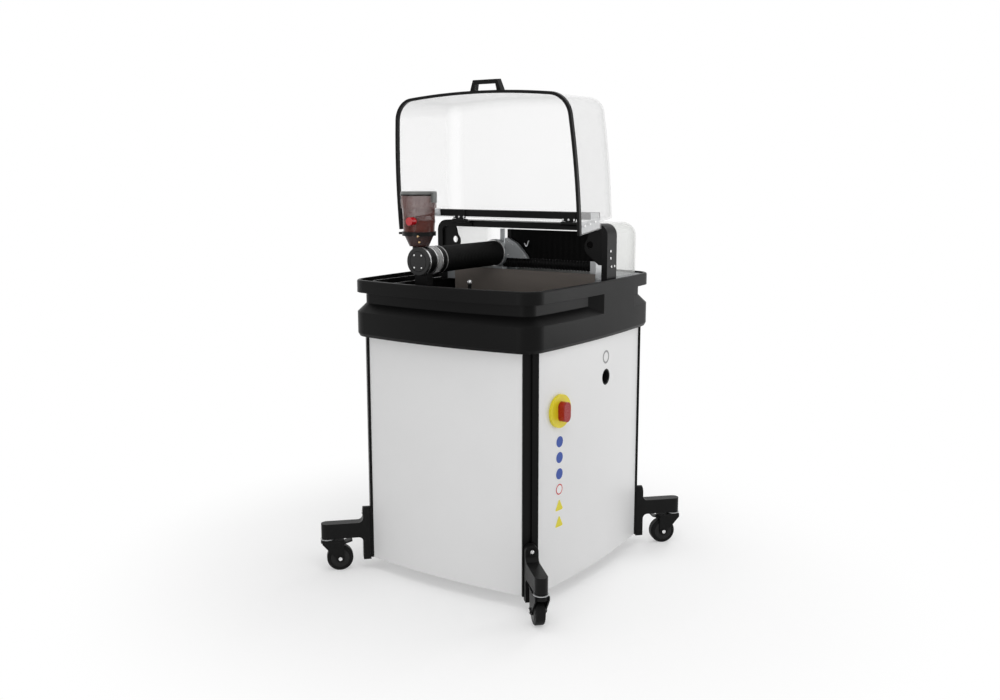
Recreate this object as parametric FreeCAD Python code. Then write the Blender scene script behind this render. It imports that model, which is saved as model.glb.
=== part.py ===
import FreeCAD, Part
import math
import os

# Bench waterjet cutting machine on a castered cabinet.
# Millimetres, +Z up, the front faces -Y, and the origin is on the floor under the cabinet's centre.

Vec = FreeCAD.Vector

# Clearances
SEAT_GAP = 0.3          # between pieces of different bodies that nearly touch
PIN_GAP = 0.05          # radial clearance of a pin in its bore
HUGE = 2000.0           # longer than the machine, for cuts that go right through

# Cabinet
POST_X = 277.0          # outer face centre of a corner post
POST_Y = 304.0
POST_FACE = 42.5        # width of the outer face
POST_DEPTH = 34.0
POST_BOTTOM = 37.0
SLOT_WIDTH = 8.0        # T slot in the post's outer face
SLOT_INNER = 16.0
SLOT_LIP = 3.0
SLOT_DEPTH = 9.0
PANEL_STEP = 7.8        # how far a post stands out past the panel edges
PANEL_BOW = 17.0
PANEL_WALL = 2.5
PANEL_BOTTOM = 37.0
BASE_WALL = 4.0

# Tray
TRAY_X = 318.0          # half width at mid side
TRAY_Y = 360.0
TRAY_BOW_X = 20.0
TRAY_BOW_Y = 30.0
TRAY_CORNER = 60.0
TRAY_BOTTOM = 692.0
SKIRT_BEVEL = 9.0
SKIRT_INSET = 5.4       # at the skirt's lower edge
SKIRT_HIGH = 69.0
SLOPE_HIGH = 24.0       # from the skirt up to the groove's floor
GROOVE_HIGH = 55.0      # from the skirt up to the groove's roof
GROOVE_DEPTH = 25.0
ROOF_THICK = 5.0
RIM_HIGH = 30.0
SKIRT_TOP = TRAY_BOTTOM + SKIRT_HIGH
GROOVE_FLOOR = SKIRT_TOP + SLOPE_HIGH
GROOVE_TOP = SKIRT_TOP + GROOVE_HIGH
LEDGE_TOP = GROOVE_TOP + ROOF_THICK
RIM_TOP = LEDGE_TOP + RIM_HIGH
RIM_WALL = 9.0
RIM_ROUND = 5.0
TANK_INSET = 45.0
TANK_FLOOR = 8.0
PILLAR_FRONT = 8.0      # the groove ends here on both sides
PILLAR_REAR = 194.0
POCKET_RUN = 46.0       # slanted end wall of the groove, along Y

# Splash wall and rear deck
WALL_X = 246.0
WALL_FRONT = 82.0
WALL_THICK = 4.0
WALL_RISE = 9.0         # above the rim
WALL_TOP = RIM_TOP + WALL_RISE
DECK_HIGH = 25.0
DECK_TOP = LEDGE_TOP + DECK_HIGH
DECK_WALL = 3.0
DECK_GAP = 0.5

# Hinge hoop
HOOP_X = 296.0
HOOP_FRONT = 62.0
HOOP_REAR = 118.0
HOOP_HIGH = 182.0
HOOP_TOP = LEDGE_TOP + HOOP_HIGH
HOOP_BEAM = 19.0
HOOP_POST = 18.0
HOOP_ROUND = 32.0
GUSSET_THICK = 6.0
GUSSET_FRONT = 70.0
GUSSET_WIDTH = 44.0
GUSSET_DROP = 96.0
GUSSET_FOOT = 14.0
GUSSET_LOBE = 28.0
LOBE_IN = 32.0          # lobe centre, from the post's inner face
LOBE_DOWN = 46.0        # and from the beam's underside
GUSSET_HOLE = 10.0
HOLE_IN = 10.0          # hole centre, from the lobe centre
HOLE_UP = 6.0

# Lid, sized as it lies closed
HINGE_Y = 33.0
HINGE_Z = HOOP_TOP
LID_OPEN = 85.0         # degrees between closed and the stored pose
LID_X = 305.0
LID_FRONT = 341.0
LID_BOW_X = 24.0
LID_BOW_Y = 20.0
LID_CORNER = 66.0
LID_LIFT = 5.5          # closed lid above the tray's rim
LID_RIM = RIM_TOP + LID_LIFT
LID_DEPTH = 250.0
LID_TAPER = 23.0
LID_CROWN = 40.0
LID_WALL = 4.0
LID_EAR_REAR = 43.0     # rear end of the side walls
LID_BACK = 24.0         # rear face above the hinge bar
TRIM_HEIGHT = 11.0
TRIM_LIP = 1.5
TRIM_UNDER = 2.0
HANDLE_BASE = 56.0
HANDLE_TOP = 40.0
HANDLE_REACH = 30.0
HANDLE_BAR = 12.0
HANDLE_OPEN = 34.0
HANDLE_UP = 40.5
HANDLE_Z = LID_RIM + HANDLE_UP
HANDLE_INTO = 12.0      # into the dome, from its middle front
HANDLE_FLARE = 6.0
HANDLE_WIDE = 20.0
BAR_WIDE = 20.0
BAR_THICK = 12.0
SIDE_BRACKET_WALL = 3.0
SIDE_BRACKET_UP = 11.5
SIDE_BRACKET_LOW = LID_RIM + SIDE_BRACKET_UP
SIDE_BRACKET_FRONT = 12.0
SIDE_BRACKET_FOOT = 26.0
KNUCKLE_R = 6.0
HINGE_PIN_R = 3.0
LEAF_X = 190.0
LEAF_HALF = 12.0
LEAF_THICK = 3.0
LEAF_WING = 10.0
BRACKET_HALF = 26.0

# Rear cover
COVER_X = 268.0
COVER_REAR = 325.0
COVER_STEP = 3.0
COVER_TOP = HOOP_TOP - COVER_STEP
COVER_ROUND = 42.0
COVER_WALL = 4.0

# X drive
DRIVE_Y = 131.0
DRIVE_UP = 33.0
DRIVE_Z = DECK_TOP + DRIVE_UP
SCREW_R = 6.0
END_BLOCK_X = 223.0
END_BLOCK_HALF = 9.0
END_BLOCK_WIDE = 36.0
RAIL_Y = 177.0
RAIL_WIDE = 20.0
RAIL_HIGH = 12.0
BELLOWS_R = 18.0
BELLOWS_ROOT = 15.0
BELLOWS_BORE = 9.0
BELLOWS_FOLDS = 23

# Arm, carriage and head
ARM_X = -110.0
ARM_UP = 26.0
ARM_Z = DRIVE_Z + ARM_UP
ARM_R = 18.0
ARM_TAIL = 205.0
LUG_HALF = 17.5
LUG_DEEP = 24.0
CARRIAGE_FRONT = 112.0
CARRIAGE_REAR = 195.0
CARRIAGE_R = 40.0
CARRIAGE_DROP = 12.0
CARRIAGE_LOW = ARM_Z - CARRIAGE_DROP
FLANK_FRONT = 94.0      # the cast flank in front of the curtain
FLANK_THICK = 13.0
FLANK_GAP = 6.0         # from the arm sleeve
FLANK_WIDE = 79.0
FLANK_CURVE = ((0.0, 47.0), (13.0, 46.0), (41.0, 32.0), (73.0, -2.0))   # across, and above the arm
BRIDGE_UP = 35.0
TAB_WIDE = 13.0
TAB_THICK = 6.0
YOKE_R = 24.0
FOOT_FRONT = 158.0
FOOT_GAP = 4.0
SLEEVE_R = 37.0
SLEEVE_ROOT = 35.5
SLEEVE_BORE = 30.0
SLEEVE_FOLDS = 40
CAP_FRONT = -273.0
CAP_THICK = 6.0
HEAD_R = 39.0
BODY_REAR = -231.0
COLLAR_REAR = -185.0
FRONT_RING = 6.0
RING_WIDE = 4.0
NOZZLE_BOX = 44.0
NOZZLE_DROP = 69.0
TUBE_LONG = 44.0
NOZZLE_LOW = ARM_Z - NOZZLE_DROP
NOZZLE_TIP = NOZZLE_LOW - TUBE_LONG
NECK_LONG = 18.0
NECK_R = 14.0
NECK_TIP_R = 6.0
TUBE_R = 4.0

# Hopper
HOPPER_X = -133.0
HOPPER_Y = -237.0
FEED_UP = 40.0
FEED_TOP = ARM_Z + FEED_UP
FEED_R = 24.0
FEED_NECK = 12.0
FEED_NECK_R = 19.0
FEED_REAR = 18.0
FEED_LEFT = 31.2        # from the arm's axis
CONE_HIGH = 35.0
CONE_TOP = FEED_TOP + CONE_HIGH
CONE_R_LOW = 27.0
CUP_R_LOW = 43.0
CUP_R_MID = 45.0
CUP_R_TOP = 49.0
CUP_LOW_HIGH = 69.0
CUP_HIGH = 38.0
CUP_STEP = CONE_TOP + CUP_LOW_HIGH
CUP_TOP = CUP_STEP + CUP_HIGH
CUP_WALL = 2.5
FILL_HIGH = 33.0
FILL_TOP = CONE_TOP + FILL_HIGH
HOPPER_LID_HIGH = 8.0
HOPPER_LID_TOP = CUP_TOP + HOPPER_LID_HIGH
CATCH_HALF = 8.0
CATCH_DROP = 22.0
BAND_TAB = 22.0
HOPPER_LID_R = 50.0
KNOB_R = 11.0
KNOB_LONG = 14.0

# Curtain
CURTAIN_FRONT = 112.0
CURTAIN_DEEP = 5.7
CURTAIN_GAP = 3.0       # above the bellows
CURTAIN_HEM = 6.0       # below the beam
CURTAIN_LOW = DRIVE_Z + BELLOWS_R + CURTAIN_GAP
CURTAIN_TOP = HOOP_TOP - HOOP_BEAM - CURTAIN_HEM
CURTAIN_FOLDS = 36
CURTAIN_SHEET = 2.0
LEAD_BAR = 12.0

# Right panel fittings
SWITCH_Y = -194.0
SWITCH_Z = 523.0
SWITCH_R = 45.0
SWITCH_THICK = 8.0
SWITCH_KNOB_HALF = 27.0
SWITCH_KNOB_R = 15.0
SWITCH_KNOB_OUT = 20.0
PORT_Y = 53.0
PORT_Z = 575.0
PORT_R = 23.0
PORT_BORE = 19.0
PORT_LONG = 30.0

# Slat bed and side rails
SLAT_PITCH = 40.0
SLAT_COUNT = 11
SLAT_THICK = 3.0
SLAT_RISE = 23.0
SLAT_HIGH = 65.0
SLAT_LOW = TRAY_BOTTOM + SLAT_RISE
SLAT_TOP = SLAT_LOW + SLAT_HIGH
SLAT_FRONT = -290.0
SLAT_REAR = 60.0
BEARER_WIDE = 20.0
SIDE_RAIL_WIDE = 30.0
SIDE_RAIL_HIGH = 19.0
SIDE_RAIL_FRONT = -250.0
SIDE_RAIL_REAR = 40.0
CLAMP_X = -60.0
CLAMP_Y = -100.0
CLAMP_R = 5.0
CLAMP_HIGH = 56.0
CLAMP_TOP = SLAT_TOP + CLAMP_HIGH
CLAMP_FOOT = 5.0
CLAMP_BALL_R = 7.0
CLAMP_HALF = 10.0

# Casters, measured outwards from a post's outer face
FOOT_PLATE = 22.0
FOOT_HALF = 17.5
PLATE_LOW = 30.0
PLATE_TOP = 186.0
ARM_LOW = 98.0
ARM_TOP = 142.0
ROOT_ROUND = 14.0
SWIVEL_OUT = 125.0
STEM_R = 6.0
STEM_LONG = 26.0
WHEEL_R = 38.0
WHEEL_HALF = 13.0
WHEEL_TRAIL = 35.0
FORK_GAP = 3.0
FORK_WALL = 3.5
CROWN_LOW = 83.0
CROWN_TOP = 93.0
AXLE_R = 5.0
AXLE_BOSS = 8.0
PEDAL_LONG = 42.0
PEDAL_THICK = 4.0

TRAIL_HUB = SWIVEL_OUT - WHEEL_TRAIL


def box(x0, x1, y0, y1, z0, z1):
    return Part.makeBox(x1 - x0, y1 - y0, z1 - z0, Vec(x0, y0, z0))


def rod(start, axis, radius, length):
    return Part.makeCylinder(radius, length, Vec(*start), Vec(*axis))


def prism(points, sweep):
    """A closed outline of straight edges, swept along a vector."""
    loop = [Vec(*point) for point in points]
    return Part.Face(Part.makePolygon(loop + loop[:1])).extrude(Vec(*sweep))


def plan_prism(points, z0, z1):
    return prism([(x, y, z0) for x, y in points], (0, 0, z1 - z0))


def front_prism(points, y0, y1):
    return prism([(x, y0, z) for x, z in points], (0, y1 - y0, 0))


def side_prism(points, x0, x1):
    return prism([(x0, y, z) for y, z in points], (x1 - x0, 0, 0))


def largest(shape):
    return max(shape.Solids, key=lambda solid: solid.Volume)


def mirrored_x(shape):
    return shape.mirror(Vec(0, 0, 0), Vec(1, 0, 0))


def edges_along(shape, axis, keep):
    """The straight edges that run along an axis and whose middle passes the test."""
    found = []
    for edge in shape.Edges:
        if not isinstance(edge.Curve, Part.Line):
            continue
        run = edge.Vertexes[1].Point - edge.Vertexes[0].Point
        across = run.cross(axis).Length
        if across < 1e-6 * run.Length and keep(edge.CenterOfMass):
            found.append(edge)
    return found


class BowedSquare:
    """A rectangle with four bowed sides and round corners, given by its half sizes."""

    def __init__(self, half_x, half_y, bow_x, bow_y, corner):
        self.corner = corner
        self.radius_y = (half_x ** 2 + bow_y ** 2) / (2 * bow_y)
        self.radius_x = (half_y ** 2 + bow_x ** 2) / (2 * bow_x)
        self.centre_y = self.radius_y - half_y
        self.centre_x = self.radius_x - half_x
        self.hub = self.corner_centre()

    def corner_centre(self):
        """Where a corner circle touches the back side and the right side from inside."""
        back, right = Vec(0, -self.centre_y, 0), Vec(-self.centre_x, 0, 0)
        reach_back, reach_right = self.radius_y - self.corner, self.radius_x - self.corner
        between = right - back
        span = between.Length
        along = (reach_back ** 2 - reach_right ** 2 + span ** 2) / (2 * span)
        across = math.sqrt(reach_back ** 2 - along ** 2)
        unit = between / span
        return back + unit * along + Vec(unit.y, -unit.x, 0) * across

    def quarter_points(self, inset):
        """Middle of the right side, the corner arc's three points, and middle of the back side."""
        back, right = Vec(0, -self.centre_y, 0), Vec(-self.centre_x, 0, 0)
        from_right = (self.hub - right).normalize()
        from_back = (self.hub - back).normalize()
        middle = (from_right + from_back).normalize()
        round_by = self.corner - inset
        start = self.hub + from_right * round_by
        end = self.hub + from_back * round_by
        return (right + Vec(self.radius_x - inset, 0, 0), start, self.hub + middle * round_by, end,
                back + Vec(0, self.radius_y - inset, 0))

    def wire(self, inset, z):
        side, start, middle, end, rear = self.quarter_points(inset)

        def at(point, sx, sy):
            return Vec(point.x * sx, point.y * sy, z)

        arcs = []
        for sx, sy, swap in ((1, 1, False), (-1, 1, True), (-1, -1, False), (1, -1, True)):
            first, last = (end, start) if swap else (start, end)
            arcs.append(Part.Arc(at(first, sx, sy), at(middle, sx, sy), at(last, sx, sy)))
            flat = side if swap else rear
            if swap:
                arcs.append(Part.Arc(at(last, sx, sy), at(flat, sx, sy), at(last, sx, -sy)))
            else:
                arcs.append(Part.Arc(at(last, sx, sy), at(flat, sx, sy), at(last, -sx, sy)))
        return Part.Wire([arc.toShape() for arc in arcs])

    def block(self, inset, z0, z1):
        return Part.Face(self.wire(inset, z0)).extrude(Vec(0, 0, z1 - z0))

    def taper(self, inset0, z0, inset1, z1):
        return Part.makeLoft([self.wire(inset0, z0), self.wire(inset1, z1)], True, True)


TRAY = BowedSquare(TRAY_X, TRAY_Y, TRAY_BOW_X, TRAY_BOW_Y, TRAY_CORNER)
LID = BowedSquare(LID_X, LID_FRONT, LID_BOW_X, LID_BOW_Y, LID_CORNER)

CORNERS = {"front_right": (1, -1), "rear_right": (1, 1), "rear_left": (-1, 1), "front_left": (-1, -1)}


def at_corner(shape, sx, sy):
    """Move a shape whose +X points outwards from a post's face to one corner of the cabinet."""
    turned = shape.copy()
    angle = math.degrees(math.atan2(sy, sx))
    turned.rotate(Vec(0, 0, 0), Vec(0, 0, 1), angle)
    turned.translate(Vec(POST_X * sx, POST_Y * sy, 0))
    return turned


# Cabinet

def post():
    half = POST_FACE / 2
    body = box(-POST_DEPTH, 0, -half, half, POST_BOTTOM, TRAY_BOTTOM)
    mouth = box(-SLOT_DEPTH, 1, -SLOT_WIDTH / 2, SLOT_WIDTH / 2, 0, HUGE)
    pocket = box(-SLOT_DEPTH, -SLOT_LIP, -SLOT_INNER / 2, SLOT_INNER / 2, 0, HUGE)
    return body.cut(mouth.fuse(pocket))


def corner_posts():
    return Part.makeCompound([at_corner(post(), *signs) for signs in CORNERS.values()])


def post_envelopes():
    half = POST_FACE / 2 + SEAT_GAP / 2
    keep_out = box(-POST_DEPTH - SEAT_GAP / 2, HUGE, -half, half, 0, HUGE)
    return [at_corner(keep_out, *signs) for signs in CORNERS.values()]


def panel_edge():
    """The cabinet corner where a front panel's outer face meets the side of a post."""
    reach = (POST_FACE / 2 + PANEL_STEP) / math.sqrt(2)
    drop = (POST_FACE / 2 - PANEL_STEP) / math.sqrt(2)
    return reach, drop


def panel_radius(half_chord):
    return (half_chord ** 2 + PANEL_BOW ** 2) / (2 * PANEL_BOW)


def bowed_band(half_chord, distance, wall):
    """A bowed sheet that faces -Y, its outer face through both chord ends."""
    radius = panel_radius(half_chord)
    centre = Vec(0, -distance - PANEL_BOW + radius, PANEL_BOTTOM)
    high = TRAY_BOTTOM - PANEL_BOTTOM
    outer = Part.makeCylinder(radius, high, centre)
    inner = Part.makeCylinder(radius - wall, high, centre)
    window = box(-half_chord - POST_FACE, half_chord + POST_FACE, -distance - 2 * PANEL_BOW,
                 -distance + 3 * PANEL_BOW, 0, HUGE)
    return outer.cut(inner).common(window)


def cabinet_panels():
    reach, drop = panel_edge()
    front = bowed_band(POST_X - reach, POST_Y + drop, PANEL_WALL)
    side = bowed_band(POST_Y - reach, POST_X + drop, PANEL_WALL)
    side.rotate(Vec(0, 0, 0), Vec(0, 0, 1), 90)
    back = front.copy()
    back.rotate(Vec(0, 0, 0), Vec(0, 0, 1), 180)
    left = side.copy()
    left.rotate(Vec(0, 0, 0), Vec(0, 0, 1), 180)
    panels = {"front_panel": front, "right_panel": side, "back_panel": back, "left_panel": left}
    for name, panel in panels.items():
        for envelope in post_envelopes():
            panel = panel.cut(envelope)
        panels[name] = largest(panel)
    port = rod((0, PORT_Y, PORT_Z), (1, 0, 0), PORT_R + SEAT_GAP / 2, HUGE)
    panels["right_panel"] = panels["right_panel"].cut(port)
    return panels


def base_plate():
    """The cabinet floor, which fills the space between the panels and the posts."""
    reach, drop = panel_edge()

    def lens(half_chord, distance):
        radius = panel_radius(half_chord)
        sides = []
        for sign in (-1, 1):
            centre = Vec(0, sign * (distance + PANEL_BOW - radius), PANEL_BOTTOM)
            sides.append(Part.makeCylinder(radius - PANEL_WALL - SEAT_GAP / 2, BASE_WALL, centre))
        return sides[0].common(sides[1])

    across = lens(POST_X - reach, POST_Y + drop)
    along = lens(POST_Y - reach, POST_X + drop)
    along.rotate(Vec(0, 0, 0), Vec(0, 0, 1), 90)
    plate = across.common(along)
    for envelope in post_envelopes():
        plate = plate.cut(envelope)
    return largest(plate)


# Tray and what stands in it

def groove_ring():
    """The recess that runs round the tray, before its ends are closed."""
    outside = TRAY.block(-GROOVE_DEPTH, SKIRT_TOP, GROOVE_TOP)
    slope = TRAY.taper(0, SKIRT_TOP, GROOVE_DEPTH, GROOVE_FLOOR)
    core = TRAY.block(GROOVE_DEPTH, GROOVE_FLOOR, GROOVE_TOP)
    return outside.cut(slope.fuse(core))


def groove_pillar():
    """The plain stretch of the right side, with slanted pocket walls at both ends."""
    deep = TRAY_X - GROOVE_DEPTH
    out = TRAY_X + GROOVE_DEPTH
    run = POCKET_RUN * (out - deep) / GROOVE_DEPTH
    front_in = PILLAR_FRONT - POCKET_RUN
    rear_in = PILLAR_REAR + POCKET_RUN
    points = [(deep - GROOVE_DEPTH, front_in), (deep, front_in), (out, front_in + run),
              (out, rear_in - run), (deep, rear_in), (deep - GROOVE_DEPTH, rear_in)]
    return plan_prism(points, SKIRT_TOP - 1, GROOVE_TOP + 1)


def tray():
    skirt = TRAY.taper(SKIRT_INSET, TRAY_BOTTOM, 0, TRAY_BOTTOM + SKIRT_BEVEL)
    upper = TRAY.block(0, TRAY_BOTTOM + SKIRT_BEVEL, RIM_TOP)
    rim = [edge for edge in upper.Edges if edge.BoundBox.ZMin > RIM_TOP - 0.01]
    body = skirt.fuse(upper.makeFillet(RIM_ROUND, rim))
    groove = groove_ring()
    for pillar in (groove_pillar(), mirrored_x(groove_pillar())):
        groove = groove.cut(pillar)
    body = body.cut(groove)
    body = body.cut(TRAY.block(RIM_WALL, LEDGE_TOP, RIM_TOP + 1))
    return body.cut(TRAY.block(TANK_INSET, TRAY_BOTTOM + TANK_FLOOR, RIM_TOP + 1))


def splash_wall():
    return box(-WALL_X, WALL_X, WALL_FRONT, WALL_FRONT + WALL_THICK, TRAY_BOTTOM + TANK_FLOOR, WALL_TOP)


def rear_deck():
    """A light sheet cover over the rear of the tank, with its rim turned down on to the ledge."""
    front = WALL_FRONT + WALL_THICK
    behind = box(-HUGE, HUGE, front, HUGE, 0, HUGE)
    room = box(-HUGE, HUGE, front + DECK_WALL, HUGE, 0, HUGE)
    outer = TRAY.block(RIM_WALL + DECK_GAP, LEDGE_TOP, DECK_TOP).common(behind)
    inner = TRAY.block(RIM_WALL + DECK_GAP + DECK_WALL, LEDGE_TOP - 1, DECK_TOP - DECK_WALL).common(room)
    deck = outer.cut(inner)
    for sign in (-1, 1):
        low, high = sorted((sign * (HOOP_X - HOOP_POST - DECK_GAP), sign * (HOOP_X + HUGE)))
        deck = deck.cut(box(low, high, front - 1, HOOP_REAR + DECK_GAP, 0, HUGE))
    return largest(deck)


def slat_bed():
    slats = []
    for index in range(SLAT_COUNT):
        x = (index - (SLAT_COUNT - 1) / 2) * SLAT_PITCH
        slats.append(box(x - SLAT_THICK / 2, x + SLAT_THICK / 2, SLAT_FRONT, SLAT_REAR, SLAT_LOW, SLAT_TOP))
    half = (SLAT_COUNT - 1) / 2 * SLAT_PITCH + SLAT_THICK / 2
    floor = TRAY_BOTTOM + TANK_FLOOR
    bearers = []
    for y in (SLAT_FRONT, SLAT_REAR - BEARER_WIDE):
        bearers.append(box(-half, half, y, y + BEARER_WIDE, floor, SLAT_LOW))
    return slats[0].multiFuse(slats[1:] + bearers).removeSplitter()


def side_rails():
    """Bright guide strips that lie on the tray's ledge on both sides of the tank."""
    out = TRAY_X - TRAY_BOW_X * 0.5 - RIM_WALL - 2
    inner = out - SIDE_RAIL_WIDE
    lip = 3.0
    points = [(out, LEDGE_TOP), (inner, LEDGE_TOP), (inner, LEDGE_TOP + SIDE_RAIL_HIGH * 0.4),
              (inner + lip, LEDGE_TOP + SIDE_RAIL_HIGH * 0.4), (inner + lip, LEDGE_TOP + lip),
              (out - lip, LEDGE_TOP + lip), (out - lip, LEDGE_TOP + SIDE_RAIL_HIGH),
              (out, LEDGE_TOP + SIDE_RAIL_HIGH)]
    right = front_prism(points, SIDE_RAIL_FRONT, SIDE_RAIL_REAR)
    return Part.makeCompound([right, mirrored_x(right)])


def clamp_post():
    base = box(CLAMP_X - SLAT_PITCH, CLAMP_X + SLAT_PITCH, CLAMP_Y - CLAMP_HALF, CLAMP_Y + CLAMP_HALF,
               SLAT_TOP, SLAT_TOP + CLAMP_FOOT)
    stem = rod((CLAMP_X, CLAMP_Y, SLAT_TOP), (0, 0, 1), CLAMP_R, CLAMP_TOP - SLAT_TOP)
    ball = Part.makeSphere(CLAMP_BALL_R, Vec(CLAMP_X, CLAMP_Y, CLAMP_TOP))
    return base.multiFuse([stem, ball]).removeSplitter()


# Hinge hoop

def hoop_opening(gap):
    """The open space inside the hoop, kept a gap away from it."""
    half, top = HOOP_X - HOOP_POST - gap, HOOP_TOP - HOOP_BEAM - gap
    space = box(-half, half, HOOP_FRONT - 1, HOOP_REAR + 1, LEDGE_TOP - 1, top)
    upper = edges_along(space, Vec(0, 1, 0), lambda mid: mid.z > top - 1)
    return space.makeFillet(HOOP_ROUND - HOOP_POST, upper)


def hinge_hoop():
    outer = box(-HOOP_X, HOOP_X, HOOP_FRONT, HOOP_REAR, LEDGE_TOP, HOOP_TOP)
    top_edges = edges_along(outer, Vec(0, 1, 0), lambda mid: mid.z > HOOP_TOP - 1)
    outer = outer.makeFillet(HOOP_ROUND, top_edges)
    return outer.cut(hoop_opening(0))


def hinge_plate():
    """A lobed plate in the right corner of the hoop."""
    post = HOOP_X - HOOP_POST
    beam = HOOP_TOP - HOOP_BEAM
    corner = HOOP_ROUND - HOOP_POST
    y0, y1 = GUSSET_FRONT, GUSSET_FRONT + GUSSET_THICK
    low = beam - GUSSET_DROP
    lobe_x, lobe_z = post - LOBE_IN, beam - LOBE_DOWN
    side = GUSSET_LOBE * 0.7
    web = front_prism([(post, low), (post, beam - corner), (post - corner, beam),
                       (post - GUSSET_WIDTH, beam), (lobe_x - side, lobe_z + side),
                       (lobe_x - side, lobe_z - side), (post - GUSSET_FOOT, low)], y0, y1)
    lobe = rod((lobe_x, y0, lobe_z), (0, 1, 0), GUSSET_LOBE, GUSSET_THICK)
    hole = rod((lobe_x - HOLE_IN, y0 - 1, lobe_z + HOLE_UP), (0, 1, 0), GUSSET_HOLE, GUSSET_THICK + 2)
    return web.fuse(lobe).cut(hole).removeSplitter()


def hinge_plates():
    return Part.makeCompound([hinge_plate(), mirrored_x(hinge_plate())])


def hinge_bracket():
    """Two knuckles and their pin on a foot that is screwed to the hoop's front face."""
    x0, x1 = LEAF_X - BRACKET_HALF, LEAF_X + BRACKET_HALF
    gap = LEAF_HALF + SEAT_GAP
    foot = box(x0, x1, HOOP_FRONT - 4, HOOP_FRONT, HOOP_TOP - HOOP_BEAM + 1, HOOP_TOP - 1)
    pieces = []
    for low, high in ((x0, LEAF_X - gap), (LEAF_X + gap, x1)):
        pieces.append(rod((low, HINGE_Y, HINGE_Z), (1, 0, 0), KNUCKLE_R, high - low))
        pieces.append(box(low, high, HINGE_Y, HOOP_FRONT - 3, HINGE_Z - KNUCKLE_R, HINGE_Z - 1))
    pin = rod((x0, HINGE_Y, HINGE_Z), (1, 0, 0), HINGE_PIN_R, x1 - x0)
    return foot.multiFuse(pieces + [pin]).removeSplitter()


def hinge_brackets():
    return Part.makeCompound([hinge_bracket(), mirrored_x(hinge_bracket())])


# Lid, built closed and then opened

def opened(shape):
    turned = shape.copy()
    turned.rotate(Vec(0, HINGE_Y, HINGE_Z), Vec(1, 0, 0), -LID_OPEN)
    return turned


def dome_block(wall):
    """The dome's solid form, inset by a wall thickness on every side."""
    top = LID_RIM + LID_DEPTH - wall
    low = LID_RIM + TRIM_UNDER - (1 if wall else 0)
    slope = LID_TAPER / LID_DEPTH
    start = wall + slope * (low - LID_RIM)
    body = LID.taper(start, low, start + slope * (top - low), top)
    crown = [edge for edge in body.Edges if edge.BoundBox.ZMin > top - 0.01]
    return body.makeFillet(LID_CROWN - wall, crown)


def lid_dome():
    outer = dome_block(0)
    outer = outer.cut(box(-HUGE, HUGE, LID_EAR_REAR, HUGE, 0, HUGE))
    outer = outer.cut(box(-HUGE, HUGE, LID_BACK, HUGE, HINGE_Z, HUGE))
    room = box(-HUGE, HUGE, -HUGE, LID_BACK - LID_WALL, 0, HUGE)
    room = room.fuse(box(-HUGE, HUGE, -HUGE, HUGE, 0, HINGE_Z))
    return outer.cut(dome_block(LID_WALL).common(room)).removeSplitter()


def lid_trim(dome):
    ring = LID.block(-TRIM_LIP, LID_RIM, LID_RIM + TRIM_HEIGHT)
    ring = ring.cut(LID.block(LID_WALL + TRIM_LIP + 1, LID_RIM - 1, LID_RIM + TRIM_HEIGHT + 1))
    ring = ring.cut(box(-HUGE, HUGE, LID_EAR_REAR, HUGE, 0, HUGE))
    return ring.cut(dome)


def lid_handle(solid_dome):
    front = -LID_FRONT - HANDLE_REACH
    root = -LID_FRONT + HANDLE_INTO
    z0, z1 = HANDLE_Z, HANDLE_Z + HANDLE_WIDE
    outer = plan_prism([(-HANDLE_BASE, root), (-HANDLE_TOP, front), (HANDLE_TOP, front), (HANDLE_BASE, root)],
                       z0, z1)
    inner = front + HANDLE_BAR
    wide = HANDLE_OPEN + HANDLE_FLARE
    hand = plan_prism([(-wide, root + 1), (-HANDLE_OPEN, inner), (HANDLE_OPEN, inner), (wide, root + 1)],
                      z0 - 1, z1 + 1)
    arch = outer.cut(hand)
    return largest(arch.cut(solid_dome))


def lid_inner_x(z):
    return LID_X - LID_WALL - LID_TAPER * (z - LID_RIM) / LID_DEPTH


def hinge_bar():
    half = lid_inner_x(HINGE_Z) - 6
    y1 = LID_BACK - LID_WALL
    return box(-half, half, y1 - BAR_WIDE, y1, HINGE_Z, HINGE_Z + BAR_THICK)


def side_brackets():
    """Bright angle brackets between the lid's side walls and the hinge bar."""
    low, high = SIDE_BRACKET_LOW, HINGE_Z
    gap = 1.0
    wall = SIDE_BRACKET_WALL
    x_low, x_high = lid_inner_x(low) - gap, lid_inner_x(high) - gap
    plate = front_prism([(x_low, low), (x_high, high), (x_high - wall, high), (x_low - wall, low)],
                        SIDE_BRACKET_FRONT, LID_EAR_REAR - 2)
    foot = box(x_high - SIDE_BRACKET_FOOT, x_high - wall / 2, 0, LID_BACK - LID_WALL, high - wall, high)
    right = plate.fuse(foot).removeSplitter()
    return Part.makeCompound([right, mirrored_x(right)])


def hinge_leaves():
    x0, x1 = LEAF_X - LEAF_HALF, LEAF_X + LEAF_HALF
    plate = box(x0 - LEAF_WING, x1 + LEAF_WING, 1, HINGE_Y - KNUCKLE_R - 1, HINGE_Z - LEAF_THICK, HINGE_Z)
    tongue = box(x0, x1, HINGE_Y - KNUCKLE_R - 2, HINGE_Y, HINGE_Z - LEAF_THICK, HINGE_Z)
    barrel = rod((x0, HINGE_Y, HINGE_Z), (1, 0, 0), KNUCKLE_R, x1 - x0)
    bore = rod((x0 - 1, HINGE_Y, HINGE_Z), (1, 0, 0), HINGE_PIN_R + PIN_GAP, x1 - x0 + 2)
    leaf = plate.multiFuse([tongue, barrel]).cut(bore).removeSplitter()
    return Part.makeCompound([leaf, mirrored_x(leaf)])


# Rear cover

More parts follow.
